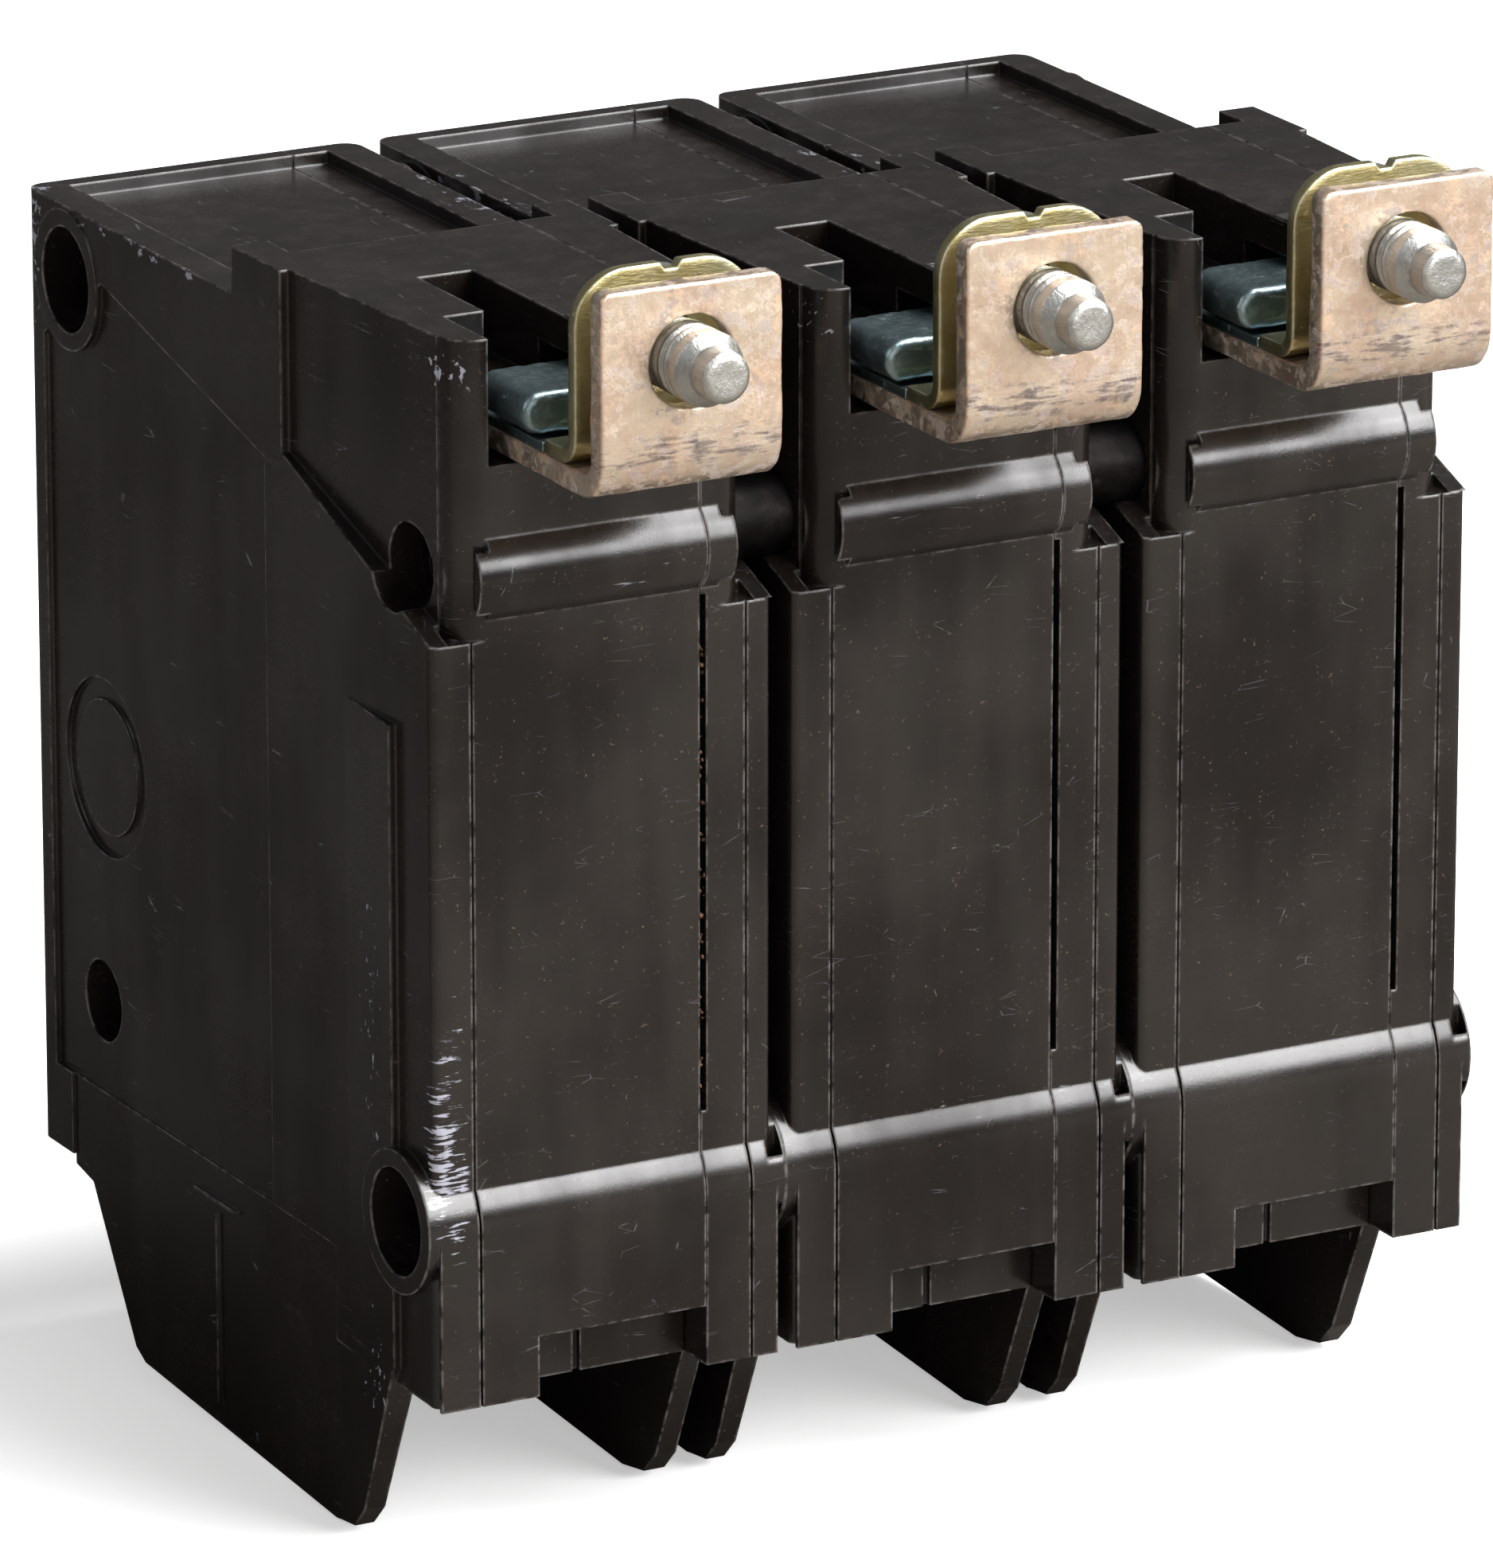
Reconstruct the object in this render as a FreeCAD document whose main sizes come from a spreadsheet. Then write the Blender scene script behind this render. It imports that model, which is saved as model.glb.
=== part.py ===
import FreeCAD, Part
import math
import os
import re
import Sketcher

# Three-pole bolt-on molded case breaker, millimetres.
#
# Row frame: the origin is on the middle line bolt's axis, in the rear face of its tab. +Z points to the
# line end, +Y out of the rear (bus) face and +X across the poles, towards pole a.
# Each pole is drawn in its own case frame: x = 0 in the middle of the pole, y = 0 in the rear face and
# z = 0 at the shoulder where the upper rear of the case becomes narrower. The front face is at -y.

doc = FreeCAD.newDocument("molded_case_breaker")
sheet = doc.addObject("Spreadsheet::Sheet", "Sizes")

SIZES = [
    # the case
    ("pole_pitch", 25.4, "width of one pole"),
    ("case_depth", 58.0, "rear face to front face"),
    ("rear_height", 49.9, "shoulder down to the rear bottom edge"),
    ("front_height", 49.0, "shoulder down to the front bottom edge"),
    ("front_top", 16.2, "top of the front part above the shoulder"),
    ("rear_top", 19.3, "top of the raised rear part above the shoulder"),
    ("side_gap", 0.8, "base side face inside the half pitch"),
    ("cover_gap", 0.65, "cover side face inside the half pitch"),
    ("cover_thickness", 4.15, "cover outer face to its inner face"),
    ("joint_pad", 0.95, "cover rim that stands inward where the joint is tight"),
    ("open_joint", 0.4, "open joint between cover and base on the rear face"),
    ("tight_joint", 0.05, "closed joint between cover and base"),
    ("side_wall", 2.4, "base side wall"),
    ("front_wall", 2.7, "front wall"),
    ("rear_wall", 3.0, "rear wall"),
    ("floor_wall", 3.1, "bottom wall"),
    ("cavity_top", 11.0, "front cavity ceiling above the shoulder"),
    ("cavity_top_rear", 13.3, "rear cavity ceiling above the shoulder"),
    ("corner_small", 0.6, "rounding of the lower rear corners"),
    ("corner_large", 1.3, "rounding of the front corners and of the handle tie"),
    ("corner_upper", 2.1, "rounding of the upper rear corners"),
    # top of the case
    ("deck_drop", 0.9, "front deck below its side ridges"),
    ("trough_drop", 2.8, "trough below the side ridges"),
    ("ridge_width", 2.6, "side ridge of the deck"),
    ("raise_side", 27.4, "rear face to the step of the side ridge"),
    ("raise_middle", 24.3, "rear face to the front of the raised block"),
    ("trough_front", 33.0, "rear face to the front of the trough"),
    ("deck_border", 1.4, "front face to the front of the deck"),
    ("ledge_radius", 0.8, "half-round ledge along the trough"),
    # side face of the base and the cover
    ("panel_front", 20.5, "rear face to the front of the recessed upper panel"),
    ("panel_low", 7.5, "shoulder to the panel's front bottom corner"),
    ("panel_shallow", 0.6, "depth of the panel at its front"),
    ("panel_deep", 1.75, "depth of the panel at its rear"),
    ("label_rear", 23.0, "rear face to the label recess"),
    ("label_border", 2.6, "front face to the front of the label recess"),
    ("label_low", 43.3, "shoulder down to the label recess's bottom"),
    ("label_high", 14.4, "shoulder up to the label recess's front top corner"),
    ("label_break", 6.6, "shoulder up to the label recess's rear top corner"),
    ("label_depth", 0.35, "depth of the label recess"),
    ("label_corner", 35.2, "rear face to the label recess's bottom front corner"),
    ("strip_rise", 0.55, "height of the side strip at its rear edge"),
    ("strip_rear", 4.8, "rear face to the strip's rear edge"),
    ("strip_front", 12.0, "rear face to the strip's front edge"),
    ("strip_top", 6.1, "shoulder down to the strip's top"),
    ("plate_drop", 0.2, "barrier plate face below the side face"),
    ("plate_setback", 5.0, "front face to the barrier plate's front"),
    ("gauge_line", 0.25, "raised wire strip line, width and height"),
    ("gauge_place", 31.5, "rear face to the wire strip line"),
    ("gauge_high", 46.5, "shoulder down to the upper end of the wire strip line"),
    ("gauge_low", 59.5, "shoulder down to the lower end of the wire strip line"),
    ("gauge_tick", 3.1, "half length of the tick over the wire strip line"),
    # barriers below the load end
    ("barrier_drop", 12.1, "barrier tip below the rear bottom edge"),
    ("barrier_thickness", 1.5, "cover barrier thickness"),
    ("barrier_root", 1.35, "base barrier inner face inside the side face"),
    ("barrier_inset", 1.6, "cover barrier inside the cover's outer face"),
    # through holes along X
    ("bolt_bore", 3.5, "radius of the two assembly bolt holes"),
    ("bolt_ring", 4.7, "radius of the rings round them"),
    ("ring_rise", 0.1, "upper ring above the base's side face"),
    ("upper_bolt_setback", 6.2, "front face to the upper front hole"),
    ("upper_bolt_height", 11.3, "shoulder up to the upper front hole"),
    ("lower_bolt_depth", 3.9, "rear face to the lower rear hole"),
    ("lower_bolt_rise", 11.5, "rear bottom edge up to the lower rear hole"),
    ("rivet_bore", 2.75, "radius of the two rivet holes"),
    ("rivet_boss", 3.9, "radius of the posts round them"),
    ("rivet_wall", 0.7, "wall of the tubular rivets"),
    ("rivet_fit", 0.05, "radial clearance of the rivets"),
    ("rivet_inset", 4.5, "rivet end inside the outer pole's pitch plane"),
    ("upper_rivet_depth", 5.4, "rear face to the upper rear rivet"),
    ("upper_rivet_height", 3.8, "shoulder up to the upper rear rivet"),
    ("lower_rivet_setback", 9.3, "front face to the lower front rivet"),
    ("lower_rivet_rise", 11.9, "front bottom edge up to the lower front rivet"),
    ("disc_radius", 6.0, "round recess outside the handle pivot"),
    ("disc_island", 4.6, "disc left inside that recess"),
    ("disc_depth", 0.7, "depth of the round recess"),
    # rear face
    ("rib_radius", 3.4, "half-round rib across the rear face"),
    ("rib_depth", 2.2, "rib axis in front of the rear face"),
    ("seam_inset", 3.7, "half pitch to the base's mould line"),
    ("seam_size", 0.16, "mould line, width and depth"),
    ("flash_inset", 2.6, "half pitch to the cover's mould line"),
    ("foot_rise", 0.8, "lower rear block in front of the rear face"),
    ("joint_upper", 0.9, "shoulder to the upper end of the open joint"),
    ("joint_lower", 16.8, "rear bottom edge to the lower end of the open joint"),
    ("window_height", 4.0, "rear window at the load end"),
    ("window_left", 5.0, "rear window, from the middle of the pole"),
    ("window_depth", 3.0, "depth of the rear window"),
    # line tab, clip and bolt
    ("tab_standoff", 12.0, "rear face of the case to the rear face of the tab"),
    ("tab_height", 19.8, "shoulder to the bolt axis"),
    ("tab_width", 12.5, "width of the tab"),
    ("tab_thickness", 1.5, "thickness of the tab"),
    ("tab_below", 8.4, "bolt axis down to the underside of the tab's foot"),
    ("tab_above", 4.9, "bolt axis up to the tab's top edge"),
    ("tab_hole", 2.95, "radius of the hole in the tab"),
    ("tab_corner", 0.6, "rounding of the tab's top corners"),
    ("leg_clear", 0.4, "gap between the contact leg and the case in front of it"),
    ("leg_end", 2.6, "shoulder up to the end of the contact leg"),
    ("foot_fit", 0.25, "gap round the tab's foot in the case"),
    ("seat_gap", 0.05, "gap under a plate that lies on the tab's foot"),
    ("clip_thickness", 0.9, "thickness of the bolt clip"),
    ("clip_gap", 2.0, "front of the tab to the rear of the clip"),
    ("clip_above", 5.4, "bolt axis up to the clip's top edge"),
    ("clip_corner", 3.6, "rounding of the clip's top corners"),
    ("clip_foot", 3.2, "length of the clip's foot"),
    ("bolt_radius", 2.4, "radius of the bolt's thread"),
    ("bolt_neck", 2.2, "radius of the bolt's neck"),
    ("neck_fit", 0.15, "radial clearance of the neck in the clip"),
    ("thread_length", 2.2, "full thread behind the tab"),
    ("bolt_cone", 0.7, "length of the cone"),
    ("dog_radius", 1.7, "radius of the dog point"),
    ("dog_length", 1.7, "length of the dog point"),
    ("head_radius", 4.8, "radius of the bolt head"),
    ("head_thickness", 2.4, "thickness of the bolt head"),
    ("head_fit", 0.08, "gap between the head and the clip"),
    ("slot_width", 1.2, "driver slot width"),
    ("slot_depth", 1.1, "driver slot depth"),
    ("arm_height", 2.7, "height of the plated steel arm"),
    ("arm_lift", 2.4, "foot of the tab to the steel arm's underside"),
    ("arm_depth", 6.6, "depth of the steel arm"),
    ("arm_reach", 7.2, "steel arm's round end, from the middle of the pole"),
    ("arm_rear", 3.6, "rear face of the case to the rear of the arm"),
    ("shim_thickness", 0.6, "thin plate under the steel arm"),
    ("notch_left", 7.8, "rear notch, from the middle of the pole"),
    ("notch_depth", 6.0, "depth of the rear notch"),
    ("slit_near", 1.2, "near side of the top slit"),
    ("slit_far", 5.0, "far side of the top slit"),
    ("slit_front", 15.0, "rear face to the front of the top slit"),
    ("tongue_height", 2.3, "thickness of the tongue over the arm"),
    # handle
    ("handle_setback", 10.2, "front face to the handle pivot"),
    ("handle_drop", 20.8, "shoulder down to the handle pivot"),
    ("hub_radius", 6.9, "handle hub"),
    ("hub_half", 5.4, "half width of the hub"),
    ("pivot_radius", 2.4, "handle pivot pins"),
    ("pivot_fit", 0.08, "radial clearance of every internal pivot"),
    ("pivot_end_gap", 0.4, "end play of every internal pivot"),
    ("socket_handle", 0.6, "handle pivot's socket into the side wall"),
    ("socket_pin", 1.4, "contact arm and cradle sockets into the side wall"),
    ("socket_cover", 1.6, "every pivot's socket into the cover"),
    ("socket_wall", 1.3, "wall round the handle pivot sockets"),
    ("lever_half", 3.6, "half width of the lever"),
    ("lever_root", 2.6, "half thickness of the lever at the hub"),
    ("lever_tip", 2.0, "half thickness of the lever at its tip"),
    ("lever_reach", 19.6, "pivot to the lever's tip"),
    ("handle_tilt", 24.0, "handle angle either side of the middle"),
    ("lever_slot", 8.0, "half height of the slot in the front face"),
    ("lever_gap", 0.7, "gap beside the lever in its slot"),
    ("tie_inner", 15.6, "pivot to the inner side of the handle tie"),
    ("tie_outer", 21.4, "pivot to the outer side of the handle tie"),
    ("tie_half", 3.6, "half thickness of the handle tie"),
    ("tie_overhang", 5.2, "tie end beyond the middle of the outer poles"),
    ("tie_fit", 0.12, "gap between each lever and the tie"),
    # contacts
    ("contact_back", 11.8, "handle pivot to the contact arm pivot, rearward"),
    ("contact_up", 7.3, "handle pivot to the contact arm pivot, upward"),
    ("contact_pin", 1.5, "radius of the contact arm pivot"),
    ("contact_swing", 20.0, "angle the contact arm opens"),
    ("contact_gap", 0.06, "gap between closed contact tips"),
    ("arm_half", 1.5, "half width of the contact arm"),
    ("arm_root", 2.8, "half depth of the contact arm at its pivot"),
    ("arm_span", 19.0, "contact arm pivot up to the middle of its tip"),
    ("arm_lean", 9.7, "contact arm pivot back to the face of its tip"),
    ("tip_radius", 2.0, "radius of the contact tips"),
    ("tip_thickness", 1.2, "thickness of the contact tips"),
    ("chute_plate", 0.8, "thickness of an arc chute plate"),
    ("chute_step", 1.75, "spacing of the arc chute plates"),
    ("chute_half", 5.6, "half width of the arc chute plates"),
    ("chute_slot", 2.4, "half width of the slot in the plates"),
    ("chute_low", 4.6, "shoulder up to the plates' lower edge"),
    # trip unit
    ("cradle_back", 4.0, "contact arm pivot to the cradle pivot, rearward"),
    ("cradle_down", 12.0, "contact arm pivot to the cradle pivot, downward"),
    ("cradle_pin", 1.2, "radius of the cradle pivot"),
    ("cradle_near", 3.0, "near face of the cradle plate"),
    ("cradle_far", 4.6, "far face of the cradle plate"),
    ("latch_gap", 0.8, "cradle tip to the armature"),
    ("bar_depth", 18.5, "rear face to the trip bar axis"),
    ("bar_height", 2.6, "shoulder up to the trip bar axis"),
    ("bar_radius", 1.8, "radius of the trip bar"),
    ("bar_fit", 0.09, "radial clearance of the trip bar in the case walls"),
    ("bar_overhang", 6.0, "trip bar end beyond the middle of the outer poles"),
    ("armature_half", 5.0, "half width of the armature"),
    ("armature_plate", 1.2, "thickness of the armature"),
    ("armature_length", 27.0, "trip bar axis down to the armature's end"),
    ("armature_fit", 0.03, "radial gap of the armature's ring on the trip bar"),
    ("armature_ring", 1.3, "wall of the armature's ring round the trip bar"),
    ("bimetal_depth", 12.6, "rear face to the bimetal's front face"),
    ("bimetal_plate", 1.0, "thickness of the bimetal"),
    ("bimetal_half", 4.0, "half width of the bimetal"),
    ("bimetal_top", 4.0, "shoulder down to the bimetal's top"),
    ("yoke_half", 6.4, "half width of the magnet yoke"),
    ("yoke_plate", 1.4, "thickness of the magnet yoke"),
    ("yoke_rear", 9.4, "rear face to the back of the yoke"),
    ("yoke_front", 14.4, "rear face to the yoke's poles"),
    ("yoke_top", 12.0, "shoulder down to the yoke's top"),
    ("yoke_height", 12.0, "height of the yoke"),
    # load terminal
    ("lug_half", 5.6, "half width of the load lug"),
    ("lug_front", 14.0, "front face to the front of the lug"),
    ("lug_depth", 12.4, "depth of the lug"),
    ("lug_height", 8.8, "height of the lug"),
    ("lug_rise", 0.9, "rear bottom edge to the lug's underside"),
    ("lug_wall", 1.6, "wall of the lug"),
    ("lug_thread_wall", 3.2, "threaded front wall of the lug"),
    ("lug_clear", 0.6, "gap between the lug and the case floor"),
    ("lug_screw_radius", 2.4, "radius of the lug screw's thread"),
    ("lug_screw_fit", 0.08, "radial clearance of the lug screw"),
    ("lug_head_radius", 3.0, "radius of the lug screw's head"),
    ("lug_head_thickness", 2.5, "thickness of the lug screw's head"),
    ("lug_travel", 4.0, "travel of the lug screw"),
    ("lug_travel_spare", 0.8, "gap left under the head at full travel"),
    ("pad_thickness", 1.0, "thickness of the pressure pad"),
    ("pad_side", 0.4, "gap between the pressure pad and the lug's side walls"),
    ("pad_half", 3.0, "half height of the pressure pad"),
    ("pad_gap", 0.1, "gap between the screw end, the pad and the lug"),
    ("driver_hole", 3.4, "radius of the driver hole in the front face"),
    ("strap_thickness", 1.2, "thickness of the load strap"),
    ("strap_half", 4.6, "half width of the load strap"),
    ("strap_lap", 1.4, "load strap over the lug's front wall"),
]

for row, (alias, value, note) in enumerate(SIZES, start=1):
    sheet.set(f"A{row}", note)
    sheet.set(f"B{row}", str(value))
    sheet.setAlias(f"B{row}", alias)
doc.recompute()

ALIASES = {alias for alias, _, _ in SIZES}
NODES = {}

# Places that several pieces share, written once as expressions of the sheet's sizes.
SIDE = "(pole_pitch / 2 - side_gap)"
HALF = "(pole_pitch / 2)"
SEAM = f"({HALF} - seam_inset)"
FLASH = f"(flash_inset - {HALF})"
COVER_FACE = "(cover_gap - pole_pitch / 2)"
COVER_INNER = f"({COVER_FACE} + cover_thickness)"
COVER_TIGHT = f"({COVER_INNER} + joint_pad)"
BASE_TIGHT = f"({COVER_TIGHT} + tight_joint)"
WALL_INNER = f"({SIDE} - side_wall)"
FRONT = "(-case_depth)"
FRONT_INNER = "(front_wall - case_depth)"
BOTTOM = "(-rear_height)"
PLATE_FRONT = f"({FRONT} + plate_setback)"
LABEL_FRONT = f"({FRONT} + label_border)"
UPPER_BOLT = (f"({FRONT} + upper_bolt_setback)", "upper_bolt_height")
LOWER_BOLT = ("-lower_bolt_depth", "lower_bolt_rise - rear_height")
UPPER_RIVET = ("-upper_rivet_depth", "upper_rivet_height")
LOWER_RIVET = (f"({FRONT} + lower_rivet_setback)", "lower_rivet_rise - front_height")
HANDLE_Y = "(handle_setback - case_depth)"
HANDLE_Z = "(-handle_drop)"
CONTACT_Y = f"({HANDLE_Y} + contact_back)"
CONTACT_Z = f"({HANDLE_Z} + contact_up)"
CRADLE_Y = f"({CONTACT_Y} + cradle_back)"
CRADLE_Z = f"({CONTACT_Z} - cradle_down)"
LEG_FRONT = f"({CONTACT_Y} + arm_lean + contact_gap + tip_thickness)"
CEILING_STEP = f"({LEG_FRONT} - leg_clear)"
FOOT_LOW = "(tab_height - tab_below)"
FOOT_HIGH = "(tab_height - tab_below + tab_thickness)"
CLIP_REAR = "(tab_standoff - tab_thickness - clip_gap)"
CLIP_FRONT = "(tab_standoff - tab_thickness - clip_gap - clip_thickness)"
ARM_LOW = "(tab_height - tab_below + arm_lift)"
LUG_FRONT = "(lug_front - case_depth)"
LUG_REAR = "(lug_front + lug_depth - case_depth)"
LUG_LOW = "(lug_rise - rear_height)"
LUG_AXIS = "(lug_rise + lug_height / 2 - rear_height)"
LUG_INNER_FRONT = f"({LUG_FRONT} + lug_thread_wall)"
DECK = "(front_top - deck_drop)"
TROUGH = "(front_top - trough_drop)"
PIN_COVER = f"({COVER_INNER} - socket_cover + pivot_end_gap)"
PIN_BASE = f"({WALL_INNER} + socket_pin - pivot_end_gap)"
SEAT = f"({FOOT_HIGH} + seat_gap)"
FOOT_OPENING = ("(tab_height - tab_below - foot_fit)", "(tab_height - tab_below + tab_thickness + foot_fit)")
ALONG = ("-pole_pitch", "pole_pitch")
POLES = {"a": 1, "b": 0, "c": -1}


def linked(expression):
    """Put the sheet's name before each alias of an expression."""
    return re.sub(r"[a-z][a-z_]*", lambda word: f"Sizes.{word[0]}" if word[0] in ALIASES else word[0],
                  expression)


def bind(item, prop, expression):
    item.setExpression(prop, linked(expression))


def block(x, y, z):
    """A box from its low and high ends on each axis."""
    box = doc.addObject("Part::Box", "Block")
    for prop, axis, (low, high) in zip(("Length", "Width", "Height"), "xyz", (x, y, z)):
        bind(box, prop, f"({high}) - ({low})")
        bind(box, f"Placement.Base.{axis}", low)
    return box


TURNS = {
    "x": FreeCAD.Rotation(FreeCAD.Vector(0, 1, 0), 90),
    "y": FreeCAD.Rotation(FreeCAD.Vector(1, 0, 0), -90),
    "z": FreeCAD.Rotation(),
}


def set_along(item, axis, span, centre):
    """Lay a round piece along an axis, from the low end of its span."""
    item.Placement = FreeCAD.Placement(FreeCAD.Vector(), TURNS[axis])
    places = dict(zip([other for other in "xyz" if other != axis], centre))
    places[axis] = span[0]
    for name, place in places.items():
        bind(item, f"Placement.Base.{name}", place)
    bind(item, "Height", f"({span[1]}) - ({span[0]})")
    return item


def rod(axis, span, centre, radius):
    """A cylinder along an axis; centre gives its other two places in X, Y, Z order."""
    cylinder = doc.addObject("Part::Cylinder", "Rod")
    bind(cylinder, "Radius", radius)
    return set_along(cylinder, axis, span, centre)


def taper(axis, span, centre, radius_low, radius_high):
    """A cone along an axis, from its radius at the low end to its radius at the high end."""
    cone = doc.addObject("Part::Cone", "Taper")
    bind(cone, "Radius1", radius_low)
    bind(cone, "Radius2", radius_high)
    return set_along(cone, axis, span, centre)


PLANES = {"x": "YZ_Plane", "y": "XZ_Plane", "z": "XY_Plane"}


def prism(axis, span, outline):
    """A padded sketch: outline gives each corner's two places in X, Y, Z order."""
    body = doc.addObject("PartDesign::Body", "Prism")
    sketch = body.newObject("Sketcher::SketchObject", "Outline")
    plane = [item for item in body.Origin.OriginFeatures if item.Role == PLANES[axis]][0]
    sketch.AttachmentSupport = [(plane, "")]
    sketch.MapMode = "FlatFace"
    # The XZ plane faces -Y, so its sketch starts at the span's high end.
    bind(sketch, "AttachmentOffset.Base.z", f"-({span[1]})" if axis == "y" else span[0])
    count = len(outline)
    ring = [FreeCAD.Vector(math.cos(2 * math.pi * i / count), math.sin(2 * math.pi * i / count), 0)
            for i in range(count)]
    for i in range(count):
        sketch.addGeometry(Part.LineSegment(ring[i], ring[(i + 1) % count]))
    for i in range(count):
        sketch.addConstraint(Sketcher.Constraint("Coincident", i, 2, (i + 1) % count, 1))
    for i, corner in enumerate(outline):
        for kind, place in zip(("DistanceX", "DistanceY"), corner):
            index = sketch.addConstraint(Sketcher.Constraint(kind, i, 1, 1.0))
            bind(sketch, f"Constraints[{index}]", place)
    pad = body.newObject("PartDesign::Pad", "Pad")
    pad.Profile = sketch
    bind(pad, "Length", f"({span[1]}) - ({span[0]})")
    return body


def join(*pieces):
    if len(pieces) == 1:
        return pieces[0]
    fuse = doc.addObject("Part::MultiFuse", "Join")
    fuse.Shapes = list(pieces)
    fuse.Refine = True
    return fuse


def cut(base, *tools):
    result = doc.addObject("Part::Cut", "Cut")
    result.Base = base
    result.Tool = join(*tools)
    result.Refine = True
    return result


def overlap(first, second):
    common = doc.addObject("Part::MultiCommon", "Overlap")
    common.Shapes = [first, second]
    return common


def corner_cutter(axis, span, corner, radius, signs):
    """What a rounding takes off an edge: a box in the corner less a cylinder tangent to both faces.

    signs point from the solid to the outside along the two axes.
    """
    ends = []
    middle = []
    for place, sign in zip(corner, signs):
        middle.append(f"({place}) - ({sign}) * {radius}")
        inner, outer = f"({place}) - ({sign}) * {radius}", f"({place}) + ({sign}) * 0.5"
        ends.append((inner, outer) if sign > 0 else (outer, inner))
    limits = dict(zip([other for other in "xyz" if other != axis], ends))
    limits[axis] = span
    return cut(block(limits["x"], limits["y"], limits["z"]), rod(axis, span, middle, radius))


def group(*pieces):
    """Separate solids of one node."""
    compound = doc.addObject("Part::Compound", "Group")
    compound.Links = list(pieces)
    return compound


def node(label, item, place, turn=None):
    """Name a finished sub-part and put it in the row frame; turn is an angle about its own X axis."""
    if item.TypeId in ("Part::Box", "Part::Cylinder"):
        item = group(item)
    item.Label = label
    if turn:
        item.Placement = FreeCAD.Placement(FreeCAD.Vector(), FreeCAD.Rotation(FreeCAD.Vector(1, 0, 0), 1))
        bind(item, "Placement.Rotation.Angle", turn)
    for axis, value in zip("xyz", place):
        bind(item, f"Placement.Base.{axis}", value)
    NODES[label] = item


def in_case(pole, x="0", y="0", z="0"):
    """A place in a pole's case frame, as a place in the row frame."""
    return (f"{POLES[pole]} * pole_pitch + ({x})", f"({y}) - tab_standoff", f"({z}) - tab_height")


# ---------------------------------------------------------------- the case

CASE_OUTLINE = [
    (FRONT, "-front_height"), (PLATE_FRONT, "-front_height"), ("0", BOTTOM), ("0", "rear_top"),
    ("-raise_side", "rear_top"), ("-raise_side", "front_top"), (FRONT, "front_top"),
]

BARRIER_OUTLINE = [
    (PLATE_FRONT, "1 - front_height"), (PLATE_FRONT, "-0.7 - front_height"),
    (f"{PLATE_FRONT} + 2.6", f"{BOTTOM} - 0.3"), (f"{PLATE_FRONT} + 8.8", f"{BOTTOM} - barrier_drop + 2.2"),
    (f"{PLATE_FRONT} + 10.2", f"{BOTTOM} - barrier_drop + 1.5"), ("-14.6", f"{BOTTOM} - barrier_drop"),
    ("-11.6", f"{BOTTOM} - barrier_drop + 0.5"), ("-10", f"{BOTTOM} - barrier_drop + 2.1"),
    ("-strip_rear - 0.2", f"{BOTTOM} + 1.2"), ("-strip_rear - 0.2", f"{BOTTOM} + 4"),
    (PLATE_FRONT, f"{BOTTOM} + 4"),
]


def outer_panel_cutter(face, sign):
    """The recessed upper rear panel of a side face: it tapers from shallow at its front to deep at its
    rear, and its lower edge falls from the front corner to the shoulder."""
    outer = f"{face} + ({sign}) * 2"
    shallow, deep = f"{face} - ({sign}) * panel_shallow", f"{face} - ({sign}) * panel_deep"
    low, high = (deep, outer) if sign > 0 else (outer, deep)
    side_view = prism("x", (low, high), [
        ("-panel_front", "panel_low"), ("0", "0"), ("1", "0"), ("1", "rear_top + 1"),
        ("-panel_front", "rear_top + 1")])
    top_view = prism("z", ("-1", "rear_top + 1"), [
        (outer, "-panel_front - 0.01"), (outer, "1"), (deep, "1"), (deep, "0"),
        (shallow, "-panel_front - 0.01")])
    return overlap(side_view, top_view)


def top_cutters(low, high):
    """The sunk deck and the deeper trough between the side ridges of the line end."""
    return [
        block((low, high), (f"{FRONT} + deck_border", "-trough_front"), (DECK, "rear_top + 1")),
        block((low, high), ("-trough_front", "-raise_middle"), (TROUGH, "rear_top + 1")),
    ]


def foot_block(span):
    """The lower rear block and its quarter-round top, which is the ring of the lower bolt hole."""
    return [
        block(span, ("-1", "foot_rise"), (BOTTOM, f"{BOTTOM} + lower_bolt_rise")),
        rod("x", span, LOWER_BOLT, "lower_bolt_depth + foot_rise"),
    ]


def pivot_hole(span, centre, radius):
    return rod("x", span, centre, f"{radius} + pivot_fit")


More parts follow.
